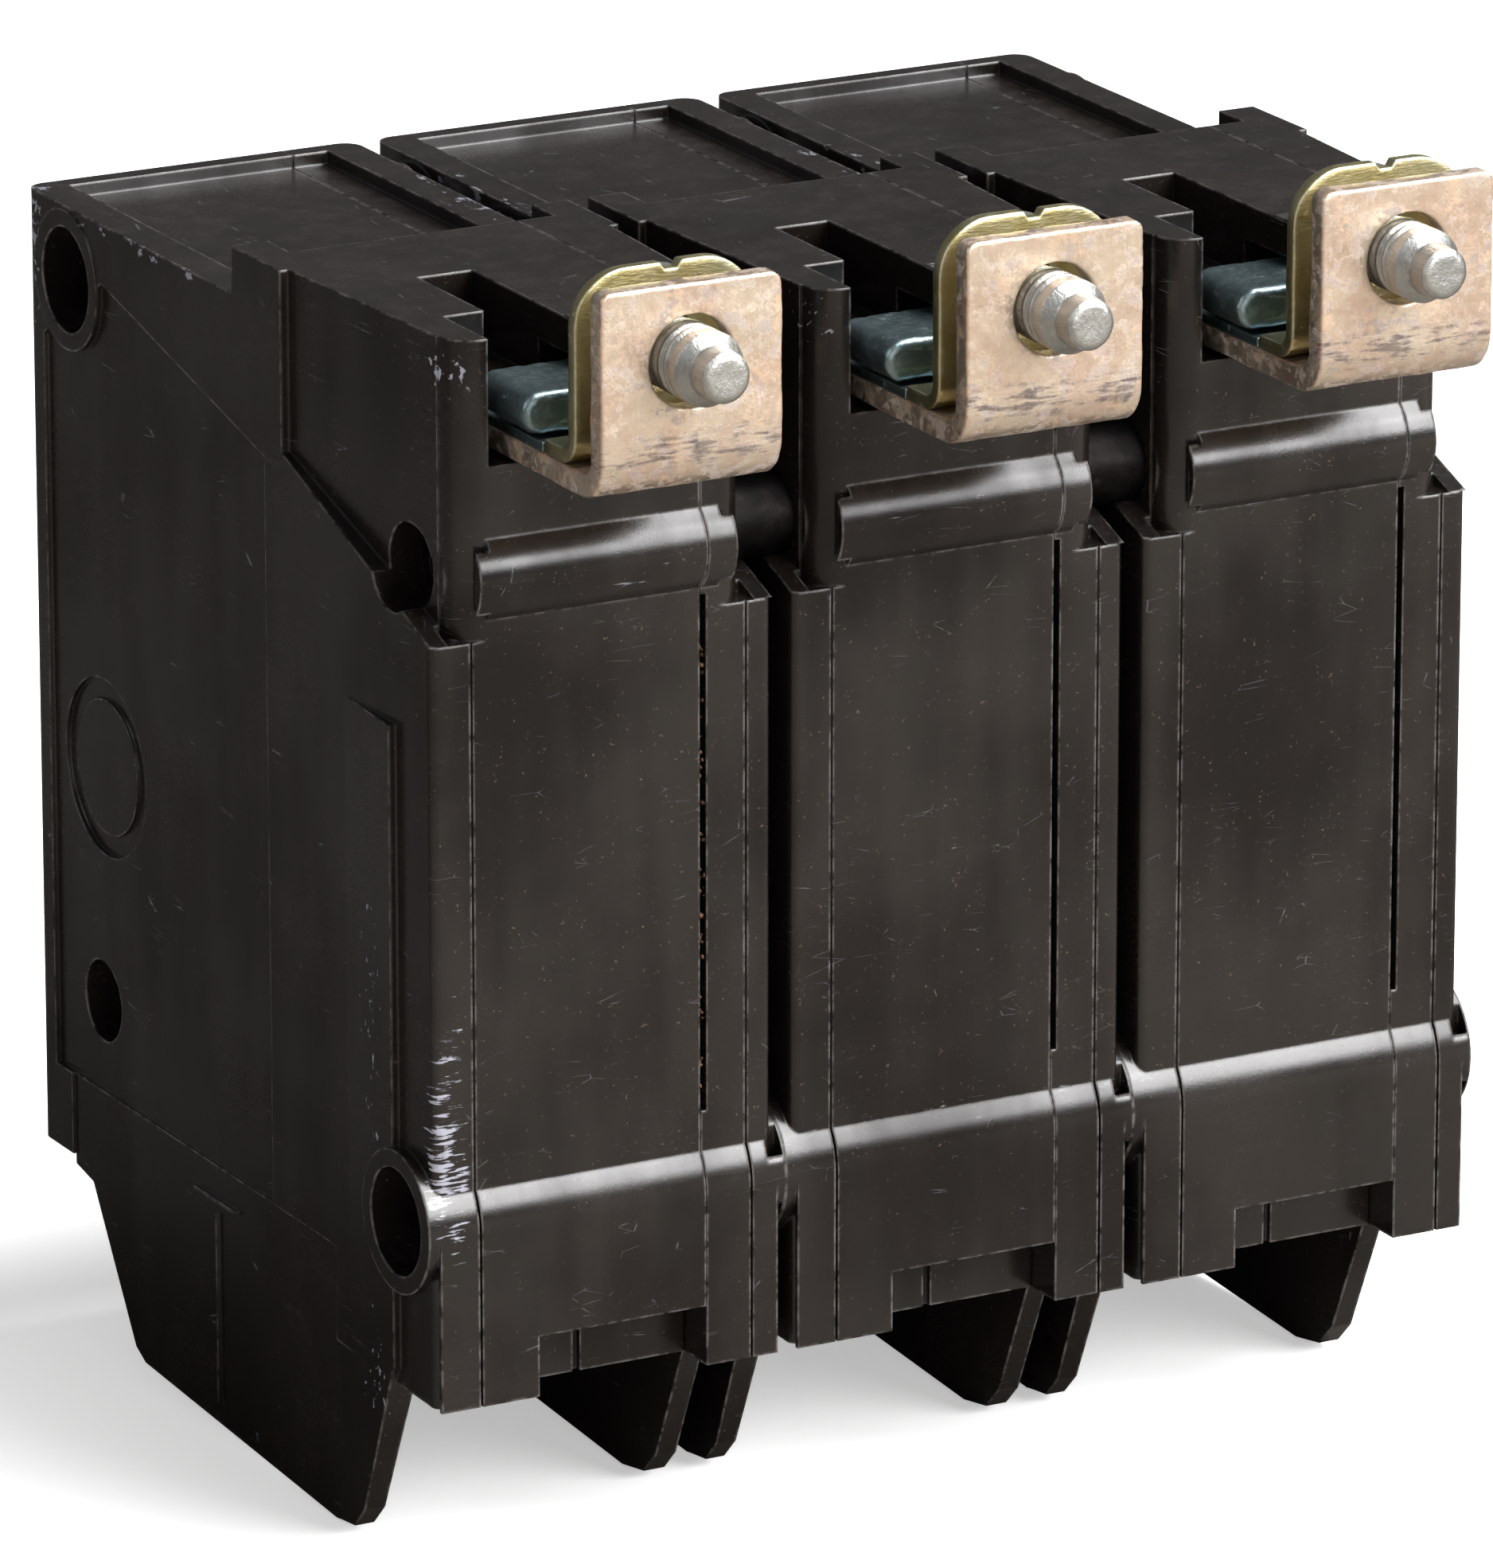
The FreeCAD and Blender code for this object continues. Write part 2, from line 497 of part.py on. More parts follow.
def case_base(pole):
    """The moulded base of one pole: side wall, front, rear, top and bottom walls, and hollow posts."""
    full = (BASE_TIGHT, SIDE)
    shell = join(
        prism("x", full, CASE_OUTLINE),
        *foot_block(full),
        rod("x", (BASE_TIGHT, SEAM), ("-rib_depth", "upper_rivet_height + 0.1"), "rib_radius"),
    )
    cavity = join(
        block(("-pole_pitch", WALL_INNER), (FRONT_INNER, "-rear_wall"),
              (f"{BOTTOM} + floor_wall", "cavity_top")),
        block(("-pole_pitch", WALL_INNER), (CEILING_STEP, "-rear_wall"), ("0", "cavity_top_rear")),
    )
    hollow = cut(
        shell, cavity,
        corner_cutter("z", ("0", "rear_top + 1"), (f"{SIDE} - panel_deep", "0"), "corner_upper", (1, 1)),
        corner_cutter("z", (f"{BOTTOM} - 1", "0"), (SIDE, "0"), "corner_small", (1, 1)),
        corner_cutter("z", (f"{BOTTOM} - 1", "rear_top"), (SIDE, FRONT), "corner_large", (1, -1)),
    )
    decked = cut(
        join(hollow, rod("x", (BASE_TIGHT, SIDE), UPPER_BOLT, "bolt_ring")),
        *top_cutters("-pole_pitch", f"{SIDE} - ridge_width"))
    lowered = cut(
        decked,
        block((f"{SIDE} - plate_drop", f"{SIDE} + 1"), (PLATE_FRONT, "-strip_front - 2"),
              (f"{BOTTOM} - 1", "-label_low")))
    posts = join(
        lowered,
        rod("x", (BASE_TIGHT, HALF), LOWER_BOLT, "bolt_ring"),
        rod("x", (BASE_TIGHT, f"{SIDE} - panel_deep"), UPPER_RIVET, "rivet_boss"),
        rod("x", (BASE_TIGHT, f"{SIDE} - label_depth"), LOWER_RIVET, "rivet_boss"),
        rod("x", ("hub_half + 0.3", f"{SIDE} - disc_depth"), (HANDLE_Y, HANDLE_Z),
            "pivot_radius + pivot_fit + socket_wall"),
        # half-round ledge between the deck and the trough
        rod("x", (BASE_TIGHT, f"{SIDE} - ridge_width"), ("-trough_front", f"{DECK} - ledge_radius / 2"),
            "ledge_radius"),
        block((BASE_TIGHT, f"{BASE_TIGHT} + 2.6"), ("-trough_front - 0.6", "-trough_front + 4.2"),
              (f"{TROUGH} - 0.2", f"{DECK} + 0.5")),
        # side strip with the barrier below it
        prism("z", (f"{BOTTOM} + 1.2", "-strip_top"), [
            (f"{SIDE} - 0.5", "-strip_front"), (SIDE, "-strip_front"),
            (f"{SIDE} + strip_rise", "-strip_rear"), (f"{SIDE} - 0.5", "-strip_rear")]),
        overlap(
            prism("x", (f"{SIDE} - barrier_root", f"{SIDE} + strip_rise"), BARRIER_OUTLINE),
            prism("z", (f"{BOTTOM} - barrier_drop - 1", f"{BOTTOM} + 6"), [
                (f"{SIDE} - barrier_root", PLATE_FRONT), (f"{SIDE} - plate_drop", PLATE_FRONT),
                (f"{SIDE} - plate_drop", "-strip_front - 2"), (f"{SIDE} + strip_rise", "-strip_rear"),
                (f"{SIDE} - barrier_root", "-strip_rear")]),
        ),
    )
    gauge_face = (f"{SIDE} - plate_drop - gauge_line", f"{SIDE} - plate_drop + gauge_line")
    marked = join(
        posts,
        block(gauge_face, ("-gauge_place", "gauge_line - gauge_place"), ("-gauge_low", "-gauge_high")),
        block(gauge_face, ("-gauge_place - gauge_tick", "gauge_tick - gauge_place"),
              ("3 * gauge_line - gauge_high", "4 * gauge_line - gauge_high")))
    strap_side = "(tab_width / 2 + foot_fit)"
    tools = [
        outer_panel_cutter(SIDE, 1),
        # label recess
        prism("x", (f"{SIDE} - label_depth", f"{SIDE} + 1"), [
            (LABEL_FRONT, "label_high - 7.5"), (f"{UPPER_BOLT[0]} + 5.2", "upper_bolt_height + 0.9"),
            ("-label_rear", "label_break"), ("-label_rear", "-label_low"), ("-label_corner", "-label_low"),
            (LABEL_FRONT, "-label_low")]),
        # holes along X
        rod("x", ALONG, UPPER_BOLT, "bolt_bore"),
        rod("x", ALONG, LOWER_BOLT, "bolt_bore"),
        rod("x", ALONG, UPPER_RIVET, "rivet_bore"),
        rod("x", ALONG, LOWER_RIVET, "rivet_bore"),
        cut(rod("x", (f"{SIDE} - disc_depth", f"{SIDE} + 1"), (HANDLE_Y, HANDLE_Z), "disc_radius"),
            rod("x", (f"{SIDE} - disc_depth - 1", f"{SIDE} - label_depth - 0.1"), (HANDLE_Y, HANDLE_Z),
                "disc_island")),
        # internal pivots
        pivot_hole(("0", f"{WALL_INNER} + socket_handle"), (HANDLE_Y, HANDLE_Z), "pivot_radius"),
        pivot_hole(("0", f"{WALL_INNER} + socket_pin"), (CONTACT_Y, CONTACT_Z), "contact_pin"),
        pivot_hole(("0", f"{WALL_INNER} + socket_pin"), (CRADLE_Y, CRADLE_Z), "cradle_pin"),
        # front face: handle slot and driver hole
        block(("-lever_half - lever_gap", "lever_half + lever_gap"), (f"{FRONT} - 1", f"{FRONT_INNER} + 0.1"),
              (f"{HANDLE_Z} - lever_slot", f"{HANDLE_Z} + lever_slot")),
        rod("y", (f"{FRONT} - 1", LUG_FRONT), ("0", LUG_AXIS), "driver_hole"),
        # bottom opening for the wire
        block((f"{BASE_TIGHT} - 1", "lug_half + lug_clear"),
              (f"{LUG_FRONT} - lug_clear", f"{LUG_REAR} + lug_clear"),
              (f"{BOTTOM} - 1", f"{BOTTOM} + floor_wall + 0.1")),
        # rear window at the load end, with a slit in its back
        block((f"{BASE_TIGHT} - 1", "window_left"), ("foot_rise - window_depth", "foot_rise + 1"),
              (f"{BOTTOM} - 1", f"{BOTTOM} + window_height")),
        block(("0.6", "1.1"), ("foot_rise - window_depth - 0.4", "foot_rise + 1"),
              (f"{BOTTOM} - 1", f"{BOTTOM} + window_height")),
        # mould line on the rear face
        block((SEAM, f"{SEAM} + seam_size"), ("-seam_size", "foot_rise + 1"),
              (f"{BOTTOM} - 1", "rear_top + 1")),
        # rear notch, its slit in the top and the way in for the strap
        block((f"{BASE_TIGHT} - 1", "notch_left"), ("-notch_depth", "1"),
              (FOOT_OPENING[0], "rear_top + 1")),
        block(("slit_near", "slit_far"), ("-slit_front", "0"), (f"{ARM_LOW} + 0.8", "rear_top + 1")),
        block((f"-{strap_side}", strap_side), (CEILING_STEP, "0"), FOOT_OPENING),
    ]
    if pole != "a":
        tools.append(rod("x", ("0", "pole_pitch"), ("-bar_depth", "bar_height"), "bar_radius + bar_fit"))
    solid = cut(marked, *tools)
    tongue = block((f"{BASE_TIGHT} + 0.4", "slit_near"), ("-notch_depth - 0.5", "-0.5"),
                   ("rear_top - tongue_height", "rear_top"))
    # the upper ring stands whole in the label recess
    upper_ring = cut(
        rod("x", (f"{SIDE} - side_wall / 2", f"{SIDE} + ring_rise"), UPPER_BOLT, "bolt_ring"),
        rod("x", ALONG, UPPER_BOLT, "bolt_bore"))
    node(f"case_base_{pole}", join(solid, tongue, upper_ring), in_case(pole))


def case_cover(pole):
    """The cover of one pole, with its own barrier and the outer ends of the pivots."""
    full = (COVER_FACE, COVER_TIGHT)
    plate = join(
        prism("x", full, CASE_OUTLINE),
        *foot_block(full),
        rod("x", (f"-{SEAM}", COVER_TIGHT), ("-rib_depth", "upper_rivet_height + 0.1"), "rib_radius"),
        rod("x", (f"-{HALF}", COVER_TIGHT), UPPER_BOLT, "bolt_ring"),
        rod("x", (f"-{HALF}", COVER_TIGHT), LOWER_BOLT, "bolt_ring"),
        prism("x", (f"{COVER_FACE} + barrier_inset", f"{COVER_FACE} + barrier_inset + barrier_thickness"),
              BARRIER_OUTLINE),
    )
    tools = [
        # the rim's inside, so that only the rim reaches the base
        block((COVER_INNER, "0"), (FRONT_INNER, "-rear_wall"), (f"{BOTTOM} + floor_wall", "cavity_top")),
        block((COVER_INNER, "0"), (CEILING_STEP, "-rear_wall"), ("0", "cavity_top_rear")),
        # open joint on the rear face
        block((f"{COVER_TIGHT} - open_joint", "0"), ("-rear_wall - 1", "foot_rise + 1"),
              (f"{BOTTOM} + joint_lower", "joint_upper")),
        *top_cutters(f"{COVER_FACE} + ridge_width", "0"),
        outer_panel_cutter(COVER_FACE, -1),
        corner_cutter("z", ("0", "rear_top + 1"), (f"{COVER_FACE} + panel_deep", "0"), "corner_upper",
                      (-1, 1)),
        corner_cutter("z", (f"{BOTTOM} - 1", "0"), (COVER_FACE, "0"), "corner_small", (-1, 1)),
        corner_cutter("z", (f"{BOTTOM} - 1", "rear_top"), (COVER_FACE, FRONT), "corner_large", (-1, -1)),
        rod("x", ("-pole_pitch", "0"), UPPER_BOLT, "bolt_bore"),
        rod("x", ("-pole_pitch", "0"), LOWER_BOLT, "bolt_bore"),
        rod("x", ("-pole_pitch", "0"), UPPER_RIVET, "rivet_bore"),
        rod("x", ("-pole_pitch", "0"), LOWER_RIVET, "rivet_bore"),
        pivot_hole((f"{COVER_INNER} - socket_cover", "0"), (HANDLE_Y, HANDLE_Z), "pivot_radius"),
        pivot_hole((f"{COVER_INNER} - socket_cover", "0"), (CONTACT_Y, CONTACT_Z), "contact_pin"),
        pivot_hole((f"{COVER_INNER} - socket_cover", "0"), (CRADLE_Y, CRADLE_Z), "cradle_pin"),
        # mould line on the rear face
        block((f"{FLASH} - seam_size", FLASH), ("-seam_size", "foot_rise + 1"),
              (f"{BOTTOM} - 1", "rear_top + 1")),
    ]
    if pole != "c":
        tools.append(rod("x", ("-pole_pitch", "0"), ("-bar_depth", "bar_height"), "bar_radius + bar_fit"))
    node(f"case_cover_{pole}", cut(plate, *tools), in_case(pole))


def tie_rivets():
    """Two tubular rivets that hold the three poles together."""
    span = (f"rivet_inset - 1.5 * pole_pitch", "1.5 * pole_pitch - rivet_inset")
    tubes = [cut(rod("x", span, place, "rivet_bore - rivet_fit"),
                 rod("x", (f"{span[0]} - 1", f"{span[1]} + 1"), place, "rivet_bore - rivet_fit - rivet_wall"))
             for place in (UPPER_RIVET, LOWER_RIVET)]
    node("tie_rivets", group(*tubes), in_case("b"))


# ---------------------------------------------------------------- line end

def line_tab(pole):
    """The copper line tab: an upright plate, a foot that goes into the case and the contact leg."""
    half = "(tab_width / 2)"
    front = "(tab_standoff - tab_thickness)"
    inner = "tab_thickness * 0.8"
    outer = "tab_thickness * 1.8"
    through = (f"{front} - 1", "tab_standoff + 1")
    plate = prism("x", (f"-{half}", half), [
        (LEG_FRONT, "leg_end"), (f"{LEG_FRONT} + tab_thickness", "leg_end"),
        (f"{LEG_FRONT} + tab_thickness", FOOT_LOW), ("tab_standoff", FOOT_LOW),
        ("tab_standoff", "tab_height + tab_above"), (front, "tab_height + tab_above"), (front, FOOT_HIGH),
        (LEG_FRONT, FOOT_HIGH)])
    inside_bend = cut(
        block((f"-{half}", half), (f"{front} - {inner}", front), (FOOT_HIGH, f"{FOOT_HIGH} + {inner}")),
        rod("x", (f"-{half}", half), (f"{front} - {inner}", f"{FOOT_HIGH} + {inner}"), inner))
    solid = cut(
        join(plate, inside_bend),
        corner_cutter("x", (f"-{half} - 1", f"{half} + 1"), ("tab_standoff", FOOT_LOW), outer, (1, -1)),
        corner_cutter("y", through, (half, "tab_height + tab_above"), "tab_corner", (1, 1)),
        corner_cutter("y", through, (f"-{half}", "tab_height + tab_above"), "tab_corner", (-1, 1)),
        rod("y", through, ("0", "tab_height"), "tab_hole"))
    node(f"line_tab_{pole}", solid, in_case(pole))


def bolt_clip(pole):
    """The plated clip that keeps the line bolt: an upright plate with a foot that turns forward."""
    half = "(tab_width / 2)"
    low = SEAT
    inner, outer = "clip_thickness", "clip_thickness * 2"
    plate = prism("x", (f"-{half}", half), [
        (f"{CLIP_FRONT} - clip_foot", low), (CLIP_REAR, low), (CLIP_REAR, "tab_height + clip_above"),
        (CLIP_FRONT, "tab_height + clip_above"), (CLIP_FRONT, f"{low} + clip_thickness"),
        (f"{CLIP_FRONT} - clip_foot", f"{low} + clip_thickness")])
    bend = cut(
        block((f"-{half}", half), (f"{CLIP_FRONT} - {inner}", CLIP_FRONT),
              (f"{low} + clip_thickness", f"{low} + clip_thickness + {inner}")),
        rod("x", (f"-{half}", half), (f"{CLIP_FRONT} - {inner}", f"{low} + clip_thickness + {inner}"), inner))
    top = "tab_height + clip_above"
    through = (f"{CLIP_FRONT} - 1", f"{CLIP_REAR} + 1")
    solid = cut(
        join(plate, bend),
        corner_cutter("x", (f"-{half} - 1", f"{half} + 1"), (CLIP_REAR, low), outer, (1, -1)),
        corner_cutter("y", through, (half, top), "clip_corner", (1, 1)),
        corner_cutter("y", through, (f"-{half}", top), "clip_corner", (-1, 1)),
        block(("-0.9", "0.2"), through, (f"{top} - 0.45", f"{top} + 1")),
        rod("y", through, ("0", "tab_height"), "bolt_neck + neck_fit"))
    node(f"bolt_clip_{pole}", solid, in_case(pole))


def line_bolt(pole):
    """The line bolt: slotted head, neck through the clip, thread, cone and dog point."""
    head_rear = f"({CLIP_FRONT} - head_fit - tab_standoff)"
    head_front = f"({head_rear} - head_thickness)"
    centre = ("0", "0")
    blank = join(
        rod("y", (head_front, head_rear), centre, "head_radius"),
        rod("y", (head_rear, "0"), centre, "bolt_neck"),
        rod("y", ("0", "thread_length"), centre, "bolt_radius"),
        taper("y", ("thread_length", "thread_length + bolt_cone"), centre, "bolt_radius", "dog_radius"),
        rod("y", ("thread_length + bolt_cone", "thread_length + bolt_cone + dog_length"), centre,
            "dog_radius"))
    slot = block(("-slot_width / 2", "slot_width / 2"), (f"{head_front} - 1", f"{head_front} + slot_depth"),
                 ("-head_radius - 1", "head_radius + 1"))
    node(f"line_bolt_{pole}", cut(blank, slot), in_case(pole, y="tab_standoff", z="tab_height"))


def steel_arm(pole):
    """The plated steel arm across the rear notch, with a round end, and the thin plate under it."""
    end = "arm_reach - arm_height / 2"
    depth = ("arm_rear - arm_depth", "arm_rear")
    bar = join(
        block((f"{BASE_TIGHT} + 1.5", end), depth, (ARM_LOW, f"{ARM_LOW} + arm_height")),
        rod("y", depth, (end, f"{ARM_LOW} + arm_height / 2"), "arm_height / 2"))
    node(f"steel_arm_{pole}", bar, in_case(pole))
    shim = block((f"{BASE_TIGHT} + 1", "tab_width / 2"),
                 ("1.5 - notch_depth", f"{CLIP_FRONT} - clip_foot - 3 * seat_gap"),
                 (SEAT, f"{SEAT} + shim_thickness"))
    node(f"shim_plate_{pole}", shim, in_case(pole))


# ---------------------------------------------------------------- handle

def handle(pole):
    """Hub, pivot pins and lever, drawn about the pivot with the lever pointing forward."""
    centre = ("0", "0")
    base_end = f"({WALL_INNER} + socket_handle - pivot_end_gap)"
    cover_end = PIN_COVER
    lever = prism("x", ("-lever_half", "lever_half"), [
        ("-4", "-lever_root"), ("-lever_reach + 1", "-lever_tip"), ("-lever_reach", "1 - lever_tip"),
        ("-lever_reach", "lever_tip - 1"), ("-lever_reach + 1", "lever_tip"), ("-4", "lever_root")])
    solid = join(
        rod("x", ("-hub_half", "hub_half"), centre, "hub_radius"),
        rod("x", (cover_end, base_end), centre, "pivot_radius"),
        lever)
    node(f"handle_{pole}", solid, in_case(pole, y=HANDLE_Y, z=HANDLE_Z), turn="handle_tilt")


def handle_tie():
    """The bar that ties the three levers, with a pocket over each lever's end."""
    ends = ("-pole_pitch - tie_overhang", "pole_pitch + tie_overhang")
    bar = block(ends, ("-tie_outer", "-tie_inner"), ("-tie_half", "tie_half"))
    rounded = cut(
        bar,
        *[corner_cutter("x", (f"{ends[0]} - 1", f"{ends[1]} + 1"), ("-tie_outer", f"{sign} * tie_half"),
                        "corner_large", (-1, sign)) for sign in (-1, 1)],
        *[block((f"{place} * pole_pitch - lever_half - tie_fit",
                 f"{place} * pole_pitch + lever_half + tie_fit"),
                ("-lever_reach - tie_fit", "-tie_inner + 1"),
                ("-lever_root - tie_fit", "lever_root + tie_fit")) for place in POLES.values()])
    node("handle_tie", rounded, in_case("b", y=HANDLE_Y, z=HANDLE_Z), turn="handle_tilt")


# ---------------------------------------------------------------- contacts

def contact_arm(pole):
    """The copper contact arm on its pivot pin, drawn closed about the pivot."""
    centre = ("0", "0")
    tip_back = "(arm_lean - tip_thickness)"
    arm = prism("x", ("-arm_half", "arm_half"), [
        ("-arm_root", "-arm_root"), ("arm_root", "-arm_root"), (f"{tip_back}", "arm_span - 2.4"),
        (f"{tip_back}", "arm_span + 1.2"), (f"{tip_back} - 2.6", "arm_span + 1.2")])
    pin = rod("x", (PIN_COVER, PIN_BASE), centre, "contact_pin")
    node(f"contact_arm_{pole}", join(arm, pin), in_case(pole, y=CONTACT_Y, z=CONTACT_Z),
         turn="contact_swing")


def contact_tips():
    """Silver tips: one on each contact arm and one on each contact leg."""
    moving = [rod("y", ("arm_lean - tip_thickness", "arm_lean"),
                  (f"{place} * pole_pitch", "arm_span - 0.7"), "tip_radius * 0.9")
              for place in POLES.values()]
    node("moving_tips", group(*moving), in_case("b", y=CONTACT_Y, z=CONTACT_Z), turn="contact_swing")
    tip_z = f"{CONTACT_Z} + arm_span - 0.7"
    fixed = [rod("y", (f"{LEG_FRONT} - tip_thickness", LEG_FRONT),
                 (f"{place} * pole_pitch", tip_z), "tip_radius") for place in POLES.values()]
    node("fixed_tips", group(*fixed), in_case("b"))


def arc_chute(pole):
    """Five slotted steel plates in front of the contact leg."""
    top = "(cavity_top - 0.2)"
    plates = []
    for step in range(5):
        front = f"({LEG_FRONT} - 5.6 - {step} * chute_step)"
        depth = (front, f"{front} + chute_plate")
        plates.append(cut(
            block(("-chute_half", "chute_half"), depth, ("chute_low", top)),
            block(("-chute_slot", "chute_slot"), (f"{front} - 1", f"{front} + chute_plate + 1"),
                  ("chute_low - 1", f"{top} - 0.6"))))
    node(f"arc_chute_{pole}", group(*plates), in_case(pole))


# ---------------------------------------------------------------- trip unit

def cradle(pole):
    """The latched cradle plate, drawn about its own pivot; its tip stops short of the armature."""
    tip = f"(-bar_depth - armature_plate / 2 - latch_gap - {CRADLE_Y})"
    plate = prism("x", ("cradle_near", "cradle_far"), [
        ("-2.4", "-2.2"), ("2.4", "-2.2"), (tip, "1.6"), (tip, "4"), (f"{tip} - 3", "4.4"),
        ("-2.4", "2.2")])
    pin = rod("x", (PIN_COVER, PIN_BASE), ("0", "0"), "cradle_pin")
    node(f"cradle_{pole}", join(plate, pin), in_case(pole, y=CRADLE_Y, z=CRADLE_Z))


def toggle_spring(pole):
    """The toggle spring's outer shape, beside the contact arm and moving with it."""
    place = ("-arm_half - 2.6", "1.2")
    tube = cut(rod("z", ("contact_pin + 0.6", "12"), place, "1.5"),
               rod("z", ("contact_pin", "13"), place, "1"))
    node(f"toggle_spring_{pole}", tube, in_case(pole, y=CONTACT_Y, z=CONTACT_Z), turn="contact_swing")


def trip_bar():
    """The common trip bar, drawn about its axis."""
    bar = rod("x", ("-pole_pitch - bar_overhang", "pole_pitch + bar_overhang"), ("0", "0"), "bar_radius")
    node("trip_bar", bar, in_case("b", y="-bar_depth", z="bar_height"))


def armature(pole):
    """The armature: a plate that hangs from a ring round the trip bar, drawn about the bar's axis."""
    span = ("-armature_half", "armature_half")
    ring = join(
        rod("x", span, ("0", "0"), "bar_radius + armature_ring"),
        block(span, ("-armature_plate / 2", "armature_plate / 2"), ("-armature_length", "0")))
    solid = cut(ring, rod("x", ("-armature_half - 1", "armature_half + 1"), ("0", "0"),
                          "bar_radius + armature_fit"))
    node(f"armature_{pole}", solid, in_case(pole, y="-bar_depth", z="bar_height"))


def bimetal(pole):
    """The bimetal strip behind the armature."""
    strip = block(("-bimetal_half", "bimetal_half"), ("-bimetal_depth", "bimetal_plate - bimetal_depth"),
                  (f"{LUG_LOW} + lug_height + strap_thickness", "-bimetal_top"))
    node(f"bimetal_{pole}", strip, in_case(pole))


def magnet_yoke(pole):
    """The U-shaped yoke round the bimetal."""
    height = ("-yoke_top - yoke_height", "-yoke_top")
    outer = block(("-yoke_half", "yoke_half"), ("-yoke_front", "-yoke_rear"), height)
    inner = block(("yoke_plate - yoke_half", "yoke_half - yoke_plate"),
                  ("-yoke_front - 1", "-yoke_rear - yoke_plate"),
                  ("-yoke_top - yoke_height - 1", "1 - yoke_top"))
    node(f"magnet_yoke_{pole}", cut(outer, inner), in_case(pole))


# ---------------------------------------------------------------- load terminal

def load_lug(pole):
    """The box lug with the load strap on its top, which carries the bimetal."""
    lug_top = f"({LUG_LOW} + lug_height)"
    lug = cut(
        block(("-lug_half", "lug_half"), (LUG_FRONT, LUG_REAR), (LUG_LOW, lug_top)),
        block(("lug_wall - lug_half", "lug_half - lug_wall"), (LUG_INNER_FRONT, f"{LUG_REAR} - lug_wall"),
              (f"{LUG_LOW} - 1", f"{lug_top} + 1")),
        rod("y", (f"{LUG_FRONT} - 1", f"{LUG_INNER_FRONT} + 0.1"), ("0", LUG_AXIS),
            "lug_screw_radius + lug_screw_fit"))
    strap = block(("-strap_half", "strap_half"), (f"{LUG_INNER_FRONT} - strap_lap", "1 - bimetal_depth"),
                  (lug_top, f"{lug_top} + strap_thickness"))
    node(f"load_lug_{pole}", join(lug, strap), in_case(pole))


def lug_screw(pole):
    """The lug screw, drawn about its axis from the front of the lug, with its pressure pad."""
    shank = "(lug_travel + lug_travel_spare)"
    centre = ("0", "0")
    end = "(lug_thread_wall + pad_gap)"
    screw = cut(
        join(rod("y", (f"-{shank} - lug_head_thickness", f"-{shank}"), centre, "lug_head_radius"),
             rod("y", (f"-{shank}", end), centre, "lug_screw_radius")),
        block(("-lug_head_radius - 1", "lug_head_radius + 1"),
              (f"-{shank} - lug_head_thickness - 1", f"slot_depth - {shank} - lug_head_thickness"),
              ("-slot_width / 2", "slot_width / 2")))
    place = in_case(pole, y=LUG_FRONT, z=LUG_AXIS)
    node(f"lug_screw_{pole}", screw, place)
    pad_start = f"({end} + pad_gap)"
    pad = block(("lug_wall - lug_half + pad_side", "lug_half - lug_wall - pad_side"),
                (pad_start, f"{pad_start} + pad_thickness"), ("-pad_half", "pad_half"))
    node(f"pressure_pad_{pole}", pad, place)


for pole in POLES:
    for build in (case_base, case_cover, line_tab, bolt_clip, line_bolt, steel_arm, handle,
                  contact_arm, arc_chute, cradle, toggle_spring, armature, bimetal, magnet_yoke,
                  load_lug, lug_screw):
        build(pole)
for build in (tie_rivets, handle_tie, contact_tips, trip_bar):
    build()

doc.recompute()
for item in doc.Objects:
    if "Invalid" in item.State or "Error" in item.State:
        raise RuntimeError(f"{item.Name} failed: {item.State}")
for label, item in NODES.items():
    if item.Shape.isNull() or not item.Shape.isValid():
        raise RuntimeError(f"{label} has no valid shape")

for pole in POLES:
    if NODES[f"case_base_{pole}"].Shape.Volume < NODES[f"case_cover_{pole}"].Shape.Volume:
        raise RuntimeError(f"case_base_{pole} lost its walls")

os.makedirs("parts", exist_ok=True)
for label, item in NODES.items():
    item.Shape.exportStep(f"parts/{label}.step")
    print(f"{label}: {item.Shape.Volume:.1f} mm3, {len(item.Shape.Solids)} solid(s)")
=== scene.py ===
"""Looks of a three-pole bolt-on molded case breaker.

Row frame, as in the part's source: the origin is on the middle line bolt's axis, in the rear face of
its tab. +Z points to the line end, +Y out of the rear face and +X across the poles, towards pole a.
Shapes are worked out in millimetres and put into the meshes in metres.
"""
import math

